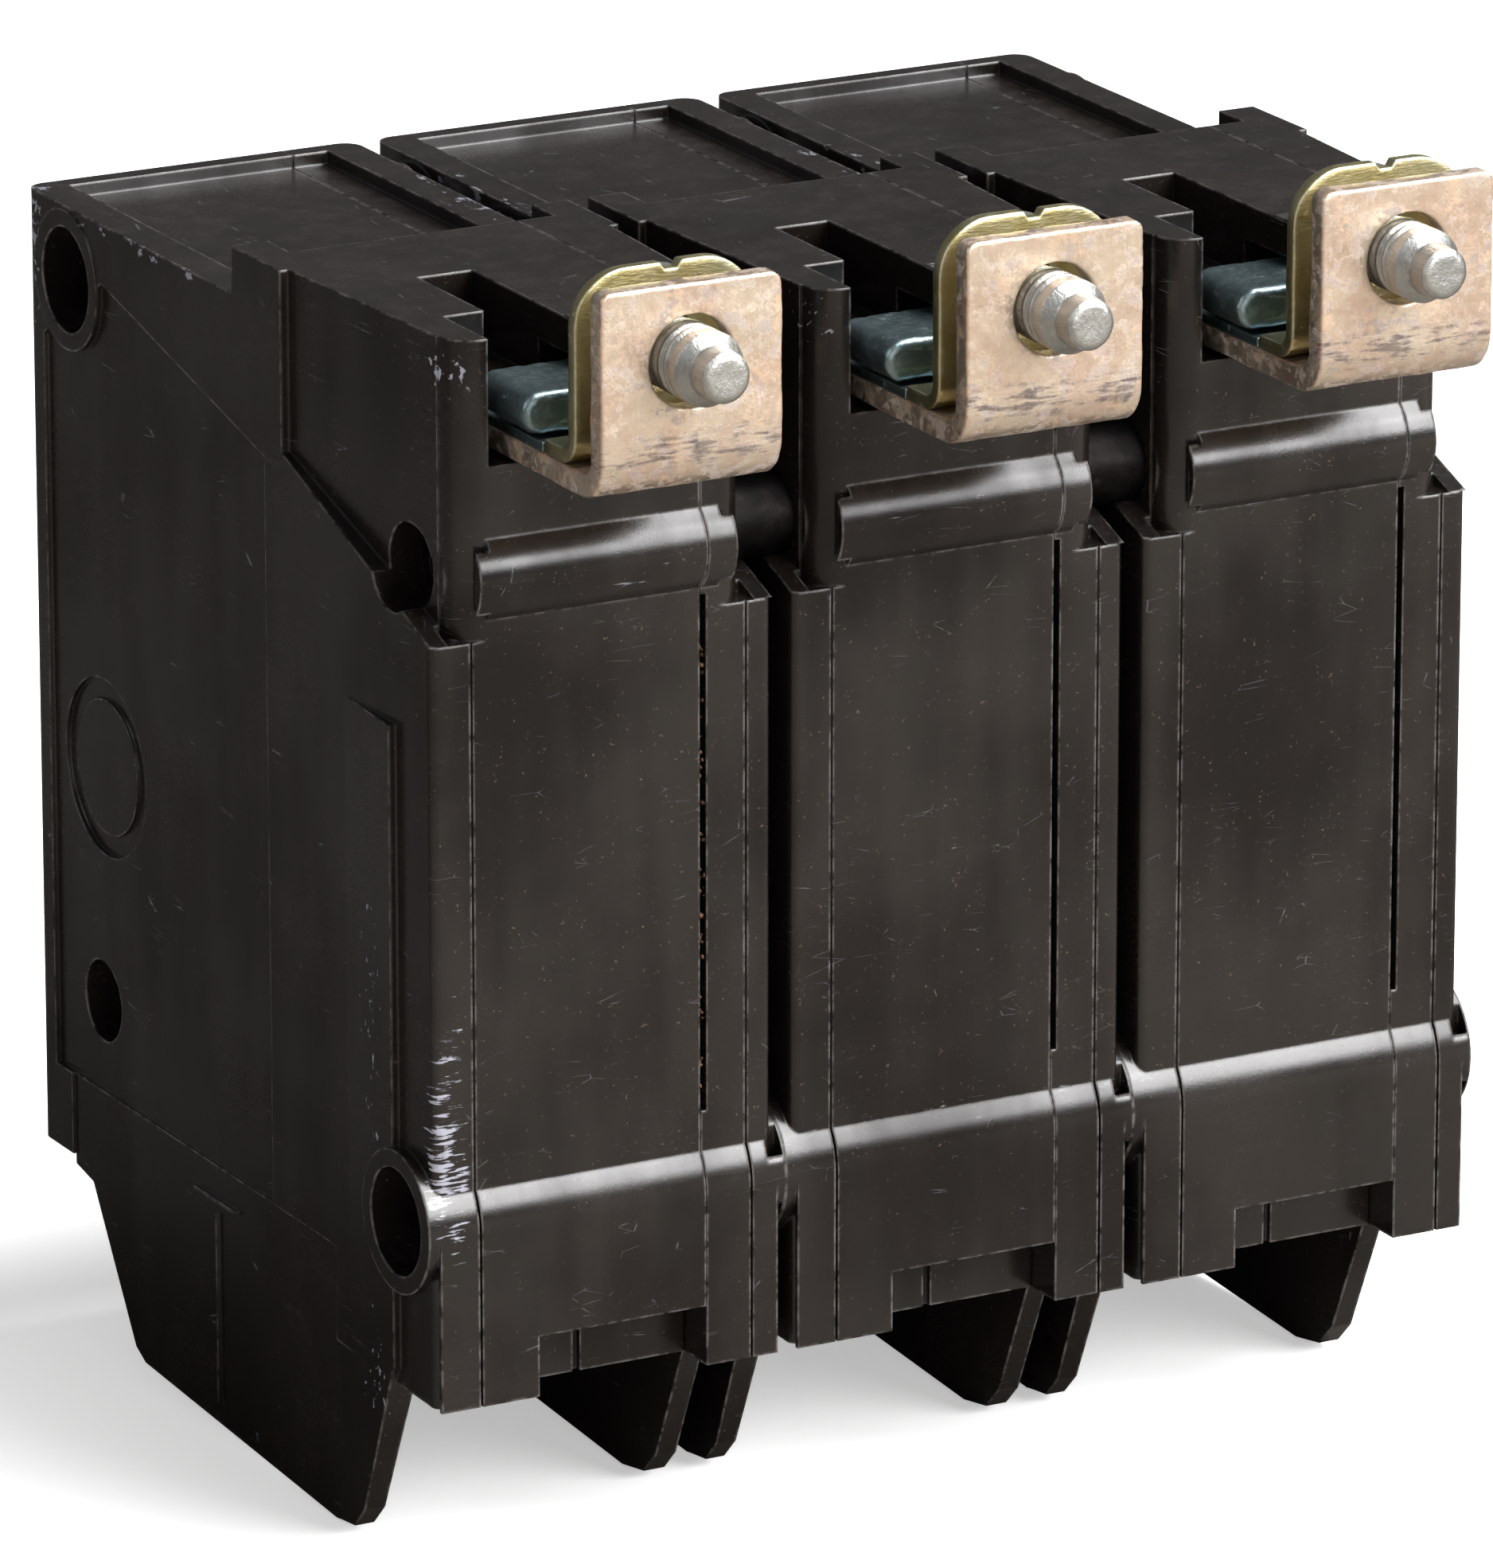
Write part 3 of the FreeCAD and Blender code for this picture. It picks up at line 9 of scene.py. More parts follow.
import bmesh
import bpy
import numpy as np
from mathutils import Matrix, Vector


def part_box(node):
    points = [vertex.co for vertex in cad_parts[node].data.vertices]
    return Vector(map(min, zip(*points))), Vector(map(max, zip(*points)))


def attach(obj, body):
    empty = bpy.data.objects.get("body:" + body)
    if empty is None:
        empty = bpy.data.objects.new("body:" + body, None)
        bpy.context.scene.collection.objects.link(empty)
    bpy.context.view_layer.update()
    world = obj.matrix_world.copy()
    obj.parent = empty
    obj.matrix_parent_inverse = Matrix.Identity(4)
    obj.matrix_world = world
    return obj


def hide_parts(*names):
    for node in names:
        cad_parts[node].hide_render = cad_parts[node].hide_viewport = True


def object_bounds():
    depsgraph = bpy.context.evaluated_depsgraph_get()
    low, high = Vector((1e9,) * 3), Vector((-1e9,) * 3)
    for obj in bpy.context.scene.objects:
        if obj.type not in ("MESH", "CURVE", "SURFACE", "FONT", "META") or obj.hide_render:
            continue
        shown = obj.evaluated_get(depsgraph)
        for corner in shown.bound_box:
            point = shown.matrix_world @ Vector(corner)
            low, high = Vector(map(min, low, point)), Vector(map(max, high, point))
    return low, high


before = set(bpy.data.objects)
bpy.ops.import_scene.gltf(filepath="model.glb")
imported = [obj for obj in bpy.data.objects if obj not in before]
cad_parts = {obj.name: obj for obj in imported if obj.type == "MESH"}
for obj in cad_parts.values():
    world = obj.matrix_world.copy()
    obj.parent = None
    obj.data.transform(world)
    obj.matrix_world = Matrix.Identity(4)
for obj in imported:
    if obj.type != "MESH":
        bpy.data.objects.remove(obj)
CAD_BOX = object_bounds()

MM = 0.001
TO_MM = (1000.0, 1000.0, 1000.0)
POLES = {"a": 1, "b": 0, "c": -1}
PITCH = 25.4             # width of a pole with its gap
CASE_REAR = -12.0        # rear face of the case
SHOULDER = -19.8         # height where the upper rear becomes narrower
JOINT_SIDE = 6.95        # from a pole's middle to the open joint of its base and cover


def limits(node):
    """A CAD node's lowest and highest corner, in millimetres."""
    low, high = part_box(node)
    return np.array(low) / MM, np.array(high) / MM


# ---------------------------------------------------------------- node wiring

# A Mix node's sockets by place: its share, its two numbers, its two colours, and its colour result.
MIX_SHARE, MIX_NUMBERS, MIX_COLOURS, MIX_COLOUR = 0, (2, 3), (6, 7), 2


class Wires:
    """Adds nodes to one tree and joins them. A value is a number, a colour, a vector or an output."""

    def __init__(self, tree):
        self.tree = tree

    def put(self, socket, value):
        """Join an output to the socket, or set its value; None leaves it alone."""
        if isinstance(value, bpy.types.NodeSocket):
            self.tree.links.new(value, socket)
        elif value is not None:
            socket.default_value = value

    def node(self, kind, settings=None, **inputs):
        """A shader node with its settings, and its inputs by name."""
        item = self.tree.nodes.new("ShaderNode" + kind)
        for name, value in (settings or {}).items():
            setattr(item, name, value)
        for name, value in inputs.items():
            self.put(item.inputs[name.replace("_", " ")], value)
        return item

    def math(self, operation, a, b=None, clamp=False):
        item = self.node("Math", {"operation": operation, "use_clamp": clamp})
        self.put(item.inputs[0], a)
        self.put(item.inputs[1], b)
        return item.outputs[0]

    def vector(self, operation, a, b=None):
        item = self.node("VectorMath", {"operation": operation})
        self.put(item.inputs[0], a)
        self.put(item.inputs[1], b)
        return item.outputs["Value" if operation in ("DOT_PRODUCT", "LENGTH") else "Vector"]

    def blend(self, a, b, share):
        """Colour a where share is 0, colour b where it is 1."""
        item = self.node("Mix", {"data_type": "RGBA", "clamp_factor": True})
        for index, value in zip((MIX_SHARE, *MIX_COLOURS), (share, a, b)):
            self.put(item.inputs[index], value)
        return item.outputs[MIX_COLOUR]

    def between(self, a, b, share):
        """Number a where share is 0, number b where it is 1."""
        item = self.node("Mix", {"data_type": "FLOAT", "clamp_factor": True})
        for index, value in zip((MIX_SHARE, *MIX_NUMBERS), (share, a, b)):
            self.put(item.inputs[index], value)
        return item.outputs[0]

    def ramp(self, value, low, high):
        """0 below low, 1 above high, smooth between; a low above high turns it round."""
        item = self.node("MapRange", {"interpolation_type": "SMOOTHSTEP"})
        for index, given in enumerate((value, low, high)):
            self.put(item.inputs[index], given)
        return item.outputs[0]

    def noise(self, vector, scale, detail, rough):
        """Layered noise from 0 to 1, with scale cells to the millimetre."""
        item = self.node("TexNoise", Vector=vector, Scale=scale, Detail=detail, Roughness=rough)
        return item.outputs["Fac"]

    def stretch(self, vector, scale, turn=(0, 0, 0)):
        """The vector scaled and turned, so that what reads it is drawn out."""
        return self.node("Mapping", Vector=vector, Scale=scale, Rotation=turn).outputs[0]

    def use(self, tree, **inputs):
        """A group with this place's own values; returns its outputs by name."""
        item = self.node("Group", {"node_tree": tree}, **inputs)
        return {output.name: output for output in item.outputs}


def effect(name, inputs, outputs, build):
    """A node group: inputs are (name, kind, value), and build returns its outputs by name."""
    kinds = {"value": "NodeSocketFloat", "vector": "NodeSocketVector"}
    tree = bpy.data.node_groups.new(name, "ShaderNodeTree")
    for label, kind, value in inputs:
        socket = tree.interface.new_socket(label, in_out="INPUT", socket_type=kinds[kind])
        if value is not None:
            socket.default_value = value
    for label, kind in outputs:
        tree.interface.new_socket(label, in_out="OUTPUT", socket_type=kinds[kind])
    start, end = tree.nodes.new("NodeGroupInput"), tree.nodes.new("NodeGroupOutput")
    results = build(Wires(tree), {socket.name: socket for socket in start.outputs})
    for label, value in results.items():
        tree.links.new(value, end.inputs[label])
    return tree


RAY_SAMPLES = 6
CORNER_REACH = 0.0016    # how far the search for open air looks, in metres
OPEN_EDGE = (0.72, 0.9)  # open air from a flat face to an outside corner


def edge_wear(w, given):
    """Edge is where the softened normal leaves the face's own on an outside corner, broken up by noise.
    Normal is the softened normal."""
    soft = w.node("Bevel", {"samples": RAY_SAMPLES}, Radius=given["Radius"]).outputs[0]
    flat = w.node("NewGeometry").outputs["True Normal"]
    turned = w.math("SUBTRACT", 1.0, w.vector("DOT_PRODUCT", soft, flat))
    open_air = w.node("AmbientOcclusion", {"samples": RAY_SAMPLES}, Distance=CORNER_REACH).outputs["AO"]
    outside = w.ramp(open_air, *OPEN_EDGE)
    patchy = w.ramp(w.noise(given["Position"], given["Breakup"], 4.0, 0.65), 0.36, 0.62)
    edge = w.math("MULTIPLY", w.math("MULTIPLY", w.ramp(turned, 0.006, 0.07), outside), patchy)
    return {"Edge": edge, "Normal": soft}


EDGE_WEAR = effect(
    "Edge wear", [("Position", "vector", None), ("Radius", "value", 0.0003), ("Breakup", "value", 1.1)],
    [("Edge", "value"), ("Normal", "vector")], edge_wear)


def moulded_grain(w, given):
    """Cloud is the slow change of tone, Fleck the small pale filler specks, Pit the dark pinholes, and
    Height the fine orange-peel of the mould's surface."""
    place = given["Position"]
    cloud = w.noise(place, 0.11, 5.0, 0.6)
    fleck = w.ramp(w.noise(place, 4.2, 2.0, 0.5), 0.66, 0.74)
    rare = w.ramp(w.noise(place, 0.9, 2.0, 0.5), 0.45, 0.6)
    pit = w.ramp(w.noise(w.vector("ADD", place, (31.0, 7.0, 3.0)), 5.5, 1.0, 0.4), 0.28, 0.2)
    peel = w.noise(place, 6.5, 3.0, 0.7)
    return {"Cloud": cloud, "Fleck": w.math("MULTIPLY", fleck, rare), "Pit": pit, "Height": peel}


MOULDED_GRAIN = effect(
    "Moulded grain", [("Position", "vector", None)],
    [("Cloud", "value"), ("Fleck", "value"), ("Pit", "value"), ("Height", "value")], moulded_grain)


def scuff_patch(w, given):
    """Rubbed marks inside a soft ellipsoid: noise drawn out along one direction by Stroke, cut at a
    threshold that rises towards the patch's rim."""
    inside = w.vector("DIVIDE", w.vector("SUBTRACT", given["Position"], given["Centre"]), given["Reach"])
    away = w.vector("LENGTH", inside)
    strokes = w.noise(w.vector("MULTIPLY", given["Position"], given["Stroke"]), 1.0, 3.0, 0.6)
    blotch = w.noise(given["Position"], 0.8, 3.0, 0.6)
    level = w.math("ADD", w.math("MULTIPLY", strokes, 0.7), w.math("MULTIPLY", blotch, 0.3))
    bar = w.math("ADD", w.math("SUBTRACT", 0.66, given["Density"]), w.math("MULTIPLY", away, 0.12))
    hit = w.ramp(w.math("SUBTRACT", level, bar), 0.0, 0.06)
    return {"Mask": w.math("MULTIPLY", hit, w.ramp(away, 1.0, 0.75))}


SCUFF_PATCH = effect(
    "Scuff patch", [("Position", "vector", None), ("Centre", "vector", None), ("Reach", "vector", None),
                    ("Stroke", "vector", None), ("Density", "value", 0.1)], [("Mask", "value")], scuff_patch)


def hair_scratches(w, given):
    """Thin long scratches: cells drawn out in one direction, kept only where two cells meet and only in
    some of them."""
    place = w.stretch(given["Position"], given["Stroke"], (0.5, 0.2, 0.35))
    cells = w.node("TexVoronoi", {"feature": "DISTANCE_TO_EDGE"}, Vector=place, Scale=1.0).outputs["Distance"]
    line = w.ramp(cells, given["Width"], 0.0)
    rarity = w.math("SUBTRACT", 0.68, given["Amount"])
    some = w.ramp(w.noise(given["Position"], 0.35, 3.0, 0.7), rarity, 0.7)
    return {"Mask": w.math("MULTIPLY", line, some)}


HAIR_SCRATCHES = effect(
    "Hair scratches", [("Position", "vector", None), ("Stroke", "vector", None), ("Width", "value", 0.01),
                       ("Amount", "value", 0.1)], [("Mask", "value")], hair_scratches)


def stains(w, given):
    """Cloudy stains: layered noise above a threshold, with a finer noise that eats at their rims."""
    place = w.vector("ADD", given["Position"], given["Shift"])
    wide = w.noise(place, given["Scale"], 5.0, 0.62)
    fine = w.noise(place, w.math("MULTIPLY", given["Scale"], 6.0), 3.0, 0.7)
    level = w.math("ADD", w.math("MULTIPLY", wide, 0.75), w.math("MULTIPLY", fine, 0.25))
    return {"Mask": w.ramp(level, given["Low"], given["High"])}


STAINS = effect(
    "Stains", [("Position", "vector", None), ("Shift", "vector", (0.0, 0.0, 0.0)), ("Scale", "value", 0.4),
               ("Low", "value", 0.5), ("High", "value", 0.62)], [("Mask", "value")], stains)


def settled_dust(w, given):
    """Pale dust on what faces up, thicker where the noise is high."""
    up = w.node("SeparateXYZ", Vector=w.node("NewGeometry").outputs["Normal"]).outputs["Z"]
    lying = w.ramp(up, 0.35, 0.95)
    spread = w.ramp(w.noise(given["Position"], 0.5, 6.0, 0.72), 0.42, 0.75)
    return {"Mask": w.math("MULTIPLY", w.math("MULTIPLY", lying, spread), given["Amount"])}


SETTLED_DUST = effect(
    "Settled dust", [("Position", "vector", None), ("Amount", "value", 0.4)], [("Mask", "value")],
    settled_dust)


def start_material(name):
    """A new material: its wires, its Principled shader and the object's position in millimetres."""
    material = bpy.data.materials.new(name)
    material.use_nodes = True
    w = Wires(material.node_tree)
    shader = material.node_tree.nodes["Principled BSDF"]
    place = w.vector("MULTIPLY", w.node("TexCoord").outputs["Object"], TO_MM)
    return material, w, shader, place


def finish_material(w, shader, colour, roughness, height=None, depth=0.00002, strength=0.5, normal=None):
    """Join colour and roughness to the shader, and its normal, bumped by height to a depth in metres."""
    w.put(shader.inputs["Base Color"], colour)
    w.put(shader.inputs["Roughness"], roughness)
    if height is not None:
        bump = w.node("Bump", Height=height, Strength=strength, Distance=depth, Normal=normal)
        normal = bump.outputs[0]
    w.put(shader.inputs["Normal"], normal)


# ---------------------------------------------------------------- finishes

CHALK = (0.30, 0.30, 0.35, 1.0)
FILLER_FLECK = (0.09, 0.062, 0.048, 1.0)
WORN_EDGE = (0.17, 0.155, 0.15, 1.0)
HOUSE_DUST = (0.10, 0.088, 0.085, 1.0)

PALE_COPPER, PINK_COPPER = (0.83, 0.70, 0.56, 1.0), (0.76, 0.58, 0.46, 1.0)
BROWN_STAIN, GREY_STAIN = (0.42, 0.28, 0.17, 1.0), (0.24, 0.20, 0.19, 1.0)
DARK_SPOT, BURNT = (0.12, 0.10, 0.10, 1.0), (0.075, 0.055, 0.05, 1.0)
BARE_RED = (0.62, 0.22, 0.11, 1.0)
BURN_STARTS, BURN_ENDS = (-7.4, -5.9), (-4.0, -5.2)    # heights on the tab, from none to full


def moulded_case(name, dark, warm, marks):
    """Worn black moulded phenolic. marks are (centre, reach, stroke, density, strength) of scuff patches."""
    material, w, shader, place = start_material(name)
    wear = w.use(EDGE_WEAR, Position=place, Radius=0.00028, Breakup=0.9)
    grain = w.use(MOULDED_GRAIN, Position=place)
    dust = w.use(SETTLED_DUST, Position=place, Amount=0.35)["Mask"]
    scratch = w.use(HAIR_SCRATCHES, Position=place, Stroke=(0.22, 0.05, 0.9), Width=0.012,
                    Amount=0.12)["Mask"]
    colour = w.blend(dark, warm, w.ramp(grain["Cloud"], 0.3, 0.7))
    colour = w.blend(colour, FILLER_FLECK, w.math("MULTIPLY", grain["Fleck"], 0.55))
    colour = w.blend(colour, WORN_EDGE, w.math("MULTIPLY", wear["Edge"], 0.6))
    colour = w.blend(colour, HOUSE_DUST, w.math("MULTIPLY", dust, 0.22))
    colour = w.blend(colour, CHALK, w.math("MULTIPLY", scratch, 0.22))
    rubbed = None
    for centre, reach, stroke, density, strength in marks:
        mask = w.use(SCUFF_PATCH, Position=place, Centre=centre, Reach=reach, Stroke=stroke,
                     Density=density)["Mask"]
        mask = w.math("MULTIPLY", mask, strength)
        rubbed = mask if rubbed is None else w.math("MAXIMUM", rubbed, mask)
    if rubbed is not None:
        colour = w.blend(colour, CHALK, rubbed)
    roughness = w.between(0.20, 0.27, w.ramp(grain["Cloud"], 0.3, 0.7))
    roughness = w.math("ADD", roughness, w.math("MULTIPLY", w.math("SUBTRACT", grain["Height"], 0.5), 0.16))
    roughness = w.math("ADD", roughness, w.math("MULTIPLY", dust, 0.25))
    height = w.math("SUBTRACT", grain["Height"], w.math("MULTIPLY", grain["Pit"], 0.6))
    finish_material(w, shader, colour, roughness, height, 0.00002, 0.35, wear["Normal"])
    # Handling leaves the shine in soft upright streaks and worn patches.
    streak = w.noise(w.stretch(place, (0.3, 0.3, 0.03)), 1.0, 3.0, 0.5)
    patch = w.noise(place, 0.06, 3.0, 0.5)
    shine = w.math("ADD", w.math("MULTIPLY", streak, 0.3), w.math("MULTIPLY", patch, 0.7))
    w.put(shader.inputs["Specular IOR Level"], w.between(0.30, 0.72, w.ramp(shine, 0.36, 0.62)))
    return material


def stained_copper(name, seed):
    """Pale copper plate with brown and grey stains, dark spots, red bare edges and a burnt band over the
    bend. The seed moves the stains."""
    material, w, shader, place = start_material(name)
    wear = w.use(EDGE_WEAR, Position=place, Radius=0.00022, Breakup=1.6)
    pink = w.use(STAINS, Position=place, Shift=(seed, 0.0, 0.0), Scale=0.22, Low=0.42, High=0.62)["Mask"]
    brown = w.use(STAINS, Position=place, Shift=(seed, 9.0, 4.0), Scale=0.5, Low=0.50, High=0.64)["Mask"]
    grey = w.use(STAINS, Position=place, Shift=(seed, 3.0, 17.0), Scale=0.9, Low=0.50, High=0.60)["Mask"]
    spots = w.use(STAINS, Position=place, Shift=(seed, 23.0, 1.0), Scale=3.2, Low=0.63, High=0.70)["Mask"]
    height_up = w.node("SeparateXYZ", Vector=place).outputs["Z"]
    ragged = w.math("MULTIPLY", w.math("SUBTRACT", w.noise(place, 1.2, 4.0, 0.7), 0.5), 3.0)
    band_place = w.math("ADD", height_up, ragged)
    band = w.math("MULTIPLY", w.ramp(band_place, *BURN_STARTS), w.ramp(band_place, *BURN_ENDS))
    streaks = w.noise(w.stretch(place, (0.35, 1.0, 2.6)), 1.0, 4.0, 0.65)
    band = w.math("MULTIPLY", band, w.ramp(streaks, 0.42, 0.6))
    colour = w.blend(PALE_COPPER, PINK_COPPER, pink)
    for stain, mask, share in ((BROWN_STAIN, brown, 0.7), (GREY_STAIN, grey, 0.72),
                               (DARK_SPOT, spots, 0.8), (BURNT, band, 0.85)):
        colour = w.blend(colour, stain, w.math("MULTIPLY", mask, share))
    red = w.math("MULTIPLY", wear["Edge"], w.ramp(w.noise(place, 0.7, 3.0, 0.6), 0.36, 0.5))
    colour = w.blend(colour, BARE_RED, w.math("MULTIPLY", red, 0.95))
    dull = w.math("MAXIMUM", w.math("MAXIMUM", w.math("MULTIPLY", brown, 0.7), grey), band)
    roughness = w.between(0.33, 0.6, dull)
    drawn = w.noise(w.stretch(place, (5.0, 5.0, 0.8)), 1.0, 3.0, 0.6)
    roughness = w.math("ADD", roughness, w.math("MULTIPLY", w.math("SUBTRACT", drawn, 0.5), 0.18))
    dents = w.noise(place, 0.9, 4.0, 0.6)
    finish_material(w, shader, colour, roughness, w.math("ADD", dents, w.math("MULTIPLY", drawn, 0.15)),
                    0.00012, 0.45, wear["Normal"])
    w.put(shader.inputs["Metallic"], w.between(0.95, 0.6, dull))
    return material


def plated(name, colour_a, colour_b, bright, stain, rough, brush=(3.0, 3.0, 3.0), depth=0.00006):
    """Zinc or tin plate: two tones in clouds, bright worn edges, dull stains and a brushed roughness.
    brush gives the lines' closeness along each axis, and depth their depth in metres."""
    material, w, shader, place = start_material(name)
    wear = w.use(EDGE_WEAR, Position=place, Radius=0.00018, Breakup=2.2)
    tone = w.use(STAINS, Position=place, Scale=0.35, Low=0.40, High=0.62)["Mask"]
    dull = w.use(STAINS, Position=place, Shift=(5.0, 8.0, 2.0), Scale=1.1, Low=0.58, High=0.72)["Mask"]
    lines = w.noise(w.vector("MULTIPLY", place, brush), 1.0, 3.0, 0.65)
    colour = w.blend(colour_a, colour_b, tone)
    colour = w.blend(colour, stain, w.math("MULTIPLY", dull, 0.7))
    colour = w.blend(colour, bright, w.math("MULTIPLY", wear["Edge"], 0.9))
    roughness = w.math("ADD", rough - 0.1, w.math("MULTIPLY", lines, 0.2))
    roughness = w.math("ADD", roughness, w.math("MULTIPLY", dull, 0.2))
    finish_material(w, shader, colour, roughness, lines, depth, 0.4, wear["Normal"])
    w.put(shader.inputs["Metallic"], w.between(1.0, 0.7, dull))
    return material


# Each mark's centre, reach, stroke, density and strength, in millimetres.
SCUFFS = [
    # rubbed strip on the rear edge of pole a: short strokes across
    ((36.4, -12.0, -53.5), (1.7, 2.2, 9.0), (0.45, 0.45, 4.2), 0.20, 0.8),
    ((36.2, -11.9, -45.0), (1.4, 2.0, 4.5), (0.5, 0.5, 3.0), 0.13, 0.65),
    # specks down the raised side strip
    ((37.6, -20.0, -46.0), (1.2, 3.8, 22.0), (2.2, 2.2, 0.9), 0.09, 0.8),
    ((37.6, -19.5, -70.0), (1.2, 3.8, 6.0), (2.0, 2.0, 1.6), 0.12, 0.7),
    # front edge of the side and the front top corner
    ((37.3, -69.4, -6.0), (1.7, 2.2, 8.0), (1.6, 1.6, 1.6), 0.17, 0.5),
    ((37.3, -69.8, -50.0), (1.5, 1.0, 28.0), (2.4, 2.4, 1.2), 0.10, 0.5),
    # the side's edge along the top, and the worn upper rear corner
    ((37.2, -52.0, -3.8), (1.0, 18.0, 1.0), (1.0, 0.6, 1.4), 0.14, 0.5),
    ((35.8, -13.0, -2.6), (2.4, 3.2, 2.2), (1.6, 1.6, 1.6), 0.15, 0.7),
    ((10.4, -13.0, -2.4), (2.4, 3.2, 2.2), (1.6, 1.6, 1.6), 0.12, 0.6),
    # joints between the poles on top
    ((12.7, -52.0, -4.0), (2.4, 14.0, 2.4), (1.2, 0.5, 1.4), 0.17, 0.5),
    ((-12.7, -44.0, -3.0), (2.4, 16.0, 2.4), (1.2, 0.5, 1.4), 0.17, 0.5),
    # rubbed ridges of the ledges at the load end and long strokes on the middle pole
    ((0.0, -11.5, -55.6), (40.0, 3.0, 1.6), (0.35, 2.0, 2.6), 0.10, 0.35),
    ((-1.0, -12.0, -38.0), (9.0, 1.0, 2.4), (0.12, 2.0, 5.5), 0.09, 0.4),
    ((25.0, -12.0, -16.5), (10.0, 3.0, 2.2), (0.30, 2.0, 2.6), 0.10, 0.4),
    ((-1.0, -12.0, -15.5), (10.0, 3.0, 2.2), (0.30, 2.0, 2.6), 0.10, 0.4),
]
CASE_BLACK = moulded_case("moulded case, worn", (0.0050, 0.0038, 0.0032, 1.0),
                          (0.0078, 0.0056, 0.0046, 1.0), SCUFFS)
HANDLE_BLACK = moulded_case("handle plastic", (0.004, 0.004, 0.0042, 1.0),
                            (0.007, 0.0066, 0.0066, 1.0), [])
BROKEN_PLASTIC = moulded_case("broken plastic", (0.02, 0.018, 0.017, 1.0), (0.035, 0.031, 0.03, 1.0),
                              [((0.0, -14.0, -1.5), (40.0, 4.0, 4.0), (3.0, 3.0, 3.0), 0.16, 0.5)])
RUST_CRUMB = plated("brown crumb", (0.16, 0.085, 0.045, 1.0), (0.10, 0.055, 0.035, 1.0),
                    (0.30, 0.17, 0.10, 1.0), (0.05, 0.03, 0.02, 1.0), 0.7)
COPPER = {pole: stained_copper(f"stained copper {pole}", 13.0 * place) for pole, place in POLES.items()}
BARE_COPPER = stained_copper("contact copper", 41.0)
OLIVE_ZINC = plated("olive zinc", (0.60, 0.57, 0.36, 1.0), (0.50, 0.45, 0.22, 1.0), (0.90, 0.90, 0.86, 1.0),
                    (0.36, 0.30, 0.16, 1.0), 0.36, brush=(1.5, 1.5, 7.0))
BLUE_ZINC = plated("blue zinc", (0.22, 0.30, 0.325, 1.0), (0.30, 0.385, 0.40, 1.0), (0.66, 0.74, 0.77, 1.0),
                   (0.12, 0.15, 0.16, 1.0), 0.38, brush=(2.0, 2.0, 2.0), depth=0.0001)
MATT_STEEL = plated("matt zinc steel", (0.43, 0.435, 0.425, 1.0), (0.52, 0.52, 0.50, 1.0),
                    (0.74, 0.74, 0.73, 1.0), (0.24, 0.235, 0.22, 1.0), 0.40, brush=(4.0, 1.2, 4.0),
                    depth=0.00012)
DULL_STEEL = plated("dull steel", (0.42, 0.42, 0.42, 1.0), (0.5, 0.5, 0.5, 1.0), (0.7, 0.7, 0.7, 1.0),
                    (0.28, 0.25, 0.22, 1.0), 0.45)
STRIP_METAL = plated("rolled bimetal", (0.52, 0.49, 0.44, 1.0), (0.58, 0.54, 0.47, 1.0),
                     (0.7, 0.68, 0.62, 1.0), (0.34, 0.30, 0.25, 1.0), 0.35, brush=(1.0, 1.0, 9.0))
SILVER = plated("contact silver", (0.78, 0.77, 0.74, 1.0), (0.7, 0.69, 0.66, 1.0), (0.9, 0.9, 0.88, 1.0),
                (0.36, 0.34, 0.32, 1.0), 0.4)
BLACKED = plated("blacked steel", (0.012, 0.011, 0.011, 1.0), (0.02, 0.018, 0.017, 1.0),
                 (0.05, 0.046, 0.043, 1.0), (0.03, 0.022, 0.016, 1.0), 0.5)
TINNED = plated("tinned lug", (0.66, 0.66, 0.66, 1.0), (0.74, 0.74, 0.73, 1.0), (0.88, 0.88, 0.88, 1.0),
                (0.45, 0.44, 0.42, 1.0), 0.36)

CAD_FINISH = {
    "case_base": CASE_BLACK, "case_cover": CASE_BLACK, "handle": HANDLE_BLACK, "handle_tie": HANDLE_BLACK,
    "trip_bar": HANDLE_BLACK, "contact_arm": BARE_COPPER, "arc_chute": DULL_STEEL, "cradle": BLUE_ZINC,
    "toggle_spring": DULL_STEEL, "armature": BLUE_ZINC, "bimetal": STRIP_METAL, "magnet_yoke": DULL_STEEL,
    "load_lug": TINNED, "lug_screw": MATT_STEEL, "pressure_pad": DULL_STEEL, "tie_rivets": BLACKED,
    "moving_tips": SILVER, "fixed_tips": SILVER, "shim_plate": BLUE_ZINC, "steel_arm": BLUE_ZINC,
    "line_tab": BARE_COPPER, "bolt_clip": OLIVE_ZINC, "line_bolt": MATT_STEEL,
}


def dress(item, finish):
    """Give the object this one finish."""
    item.data.materials.clear()
    item.data.materials.append(finish)


for name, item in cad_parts.items():
    # A node that each pole has ends in _a, _b or _c.
    kind = name if name in CAD_FINISH else name[:-2]
    dress(item, CAD_FINISH[kind])


# ---------------------------------------------------------------- mesh building

WELD, SLIVER = 2e-6, 1e-6    # points closer and edges shorter than these are merged, in metres


def ripple(points, size, seed):
    """Smooth noise about -1 to 1: three layers, each the sum of five sine waves along random directions
    with random phases. The first layer's waves are size long in millimetres, and each next layer is
    finer and fainter."""
    waves, finer, fainter, spread = 5, 2.1, 1.8, 3.2
    rng = np.random.default_rng(seed)
    total = np.zeros(len(points))
    for octave in range(3):
        ways = rng.normal(size=(waves, 3))
        ways *= (finer ** octave) * 2 * math.pi / size / np.linalg.norm(ways, axis=1, keepdims=True)
        total += (np.sin(points @ ways.T + rng.uniform(0, 6.28, waves)).sum(1)) / (spread * fainter ** octave)
    return total


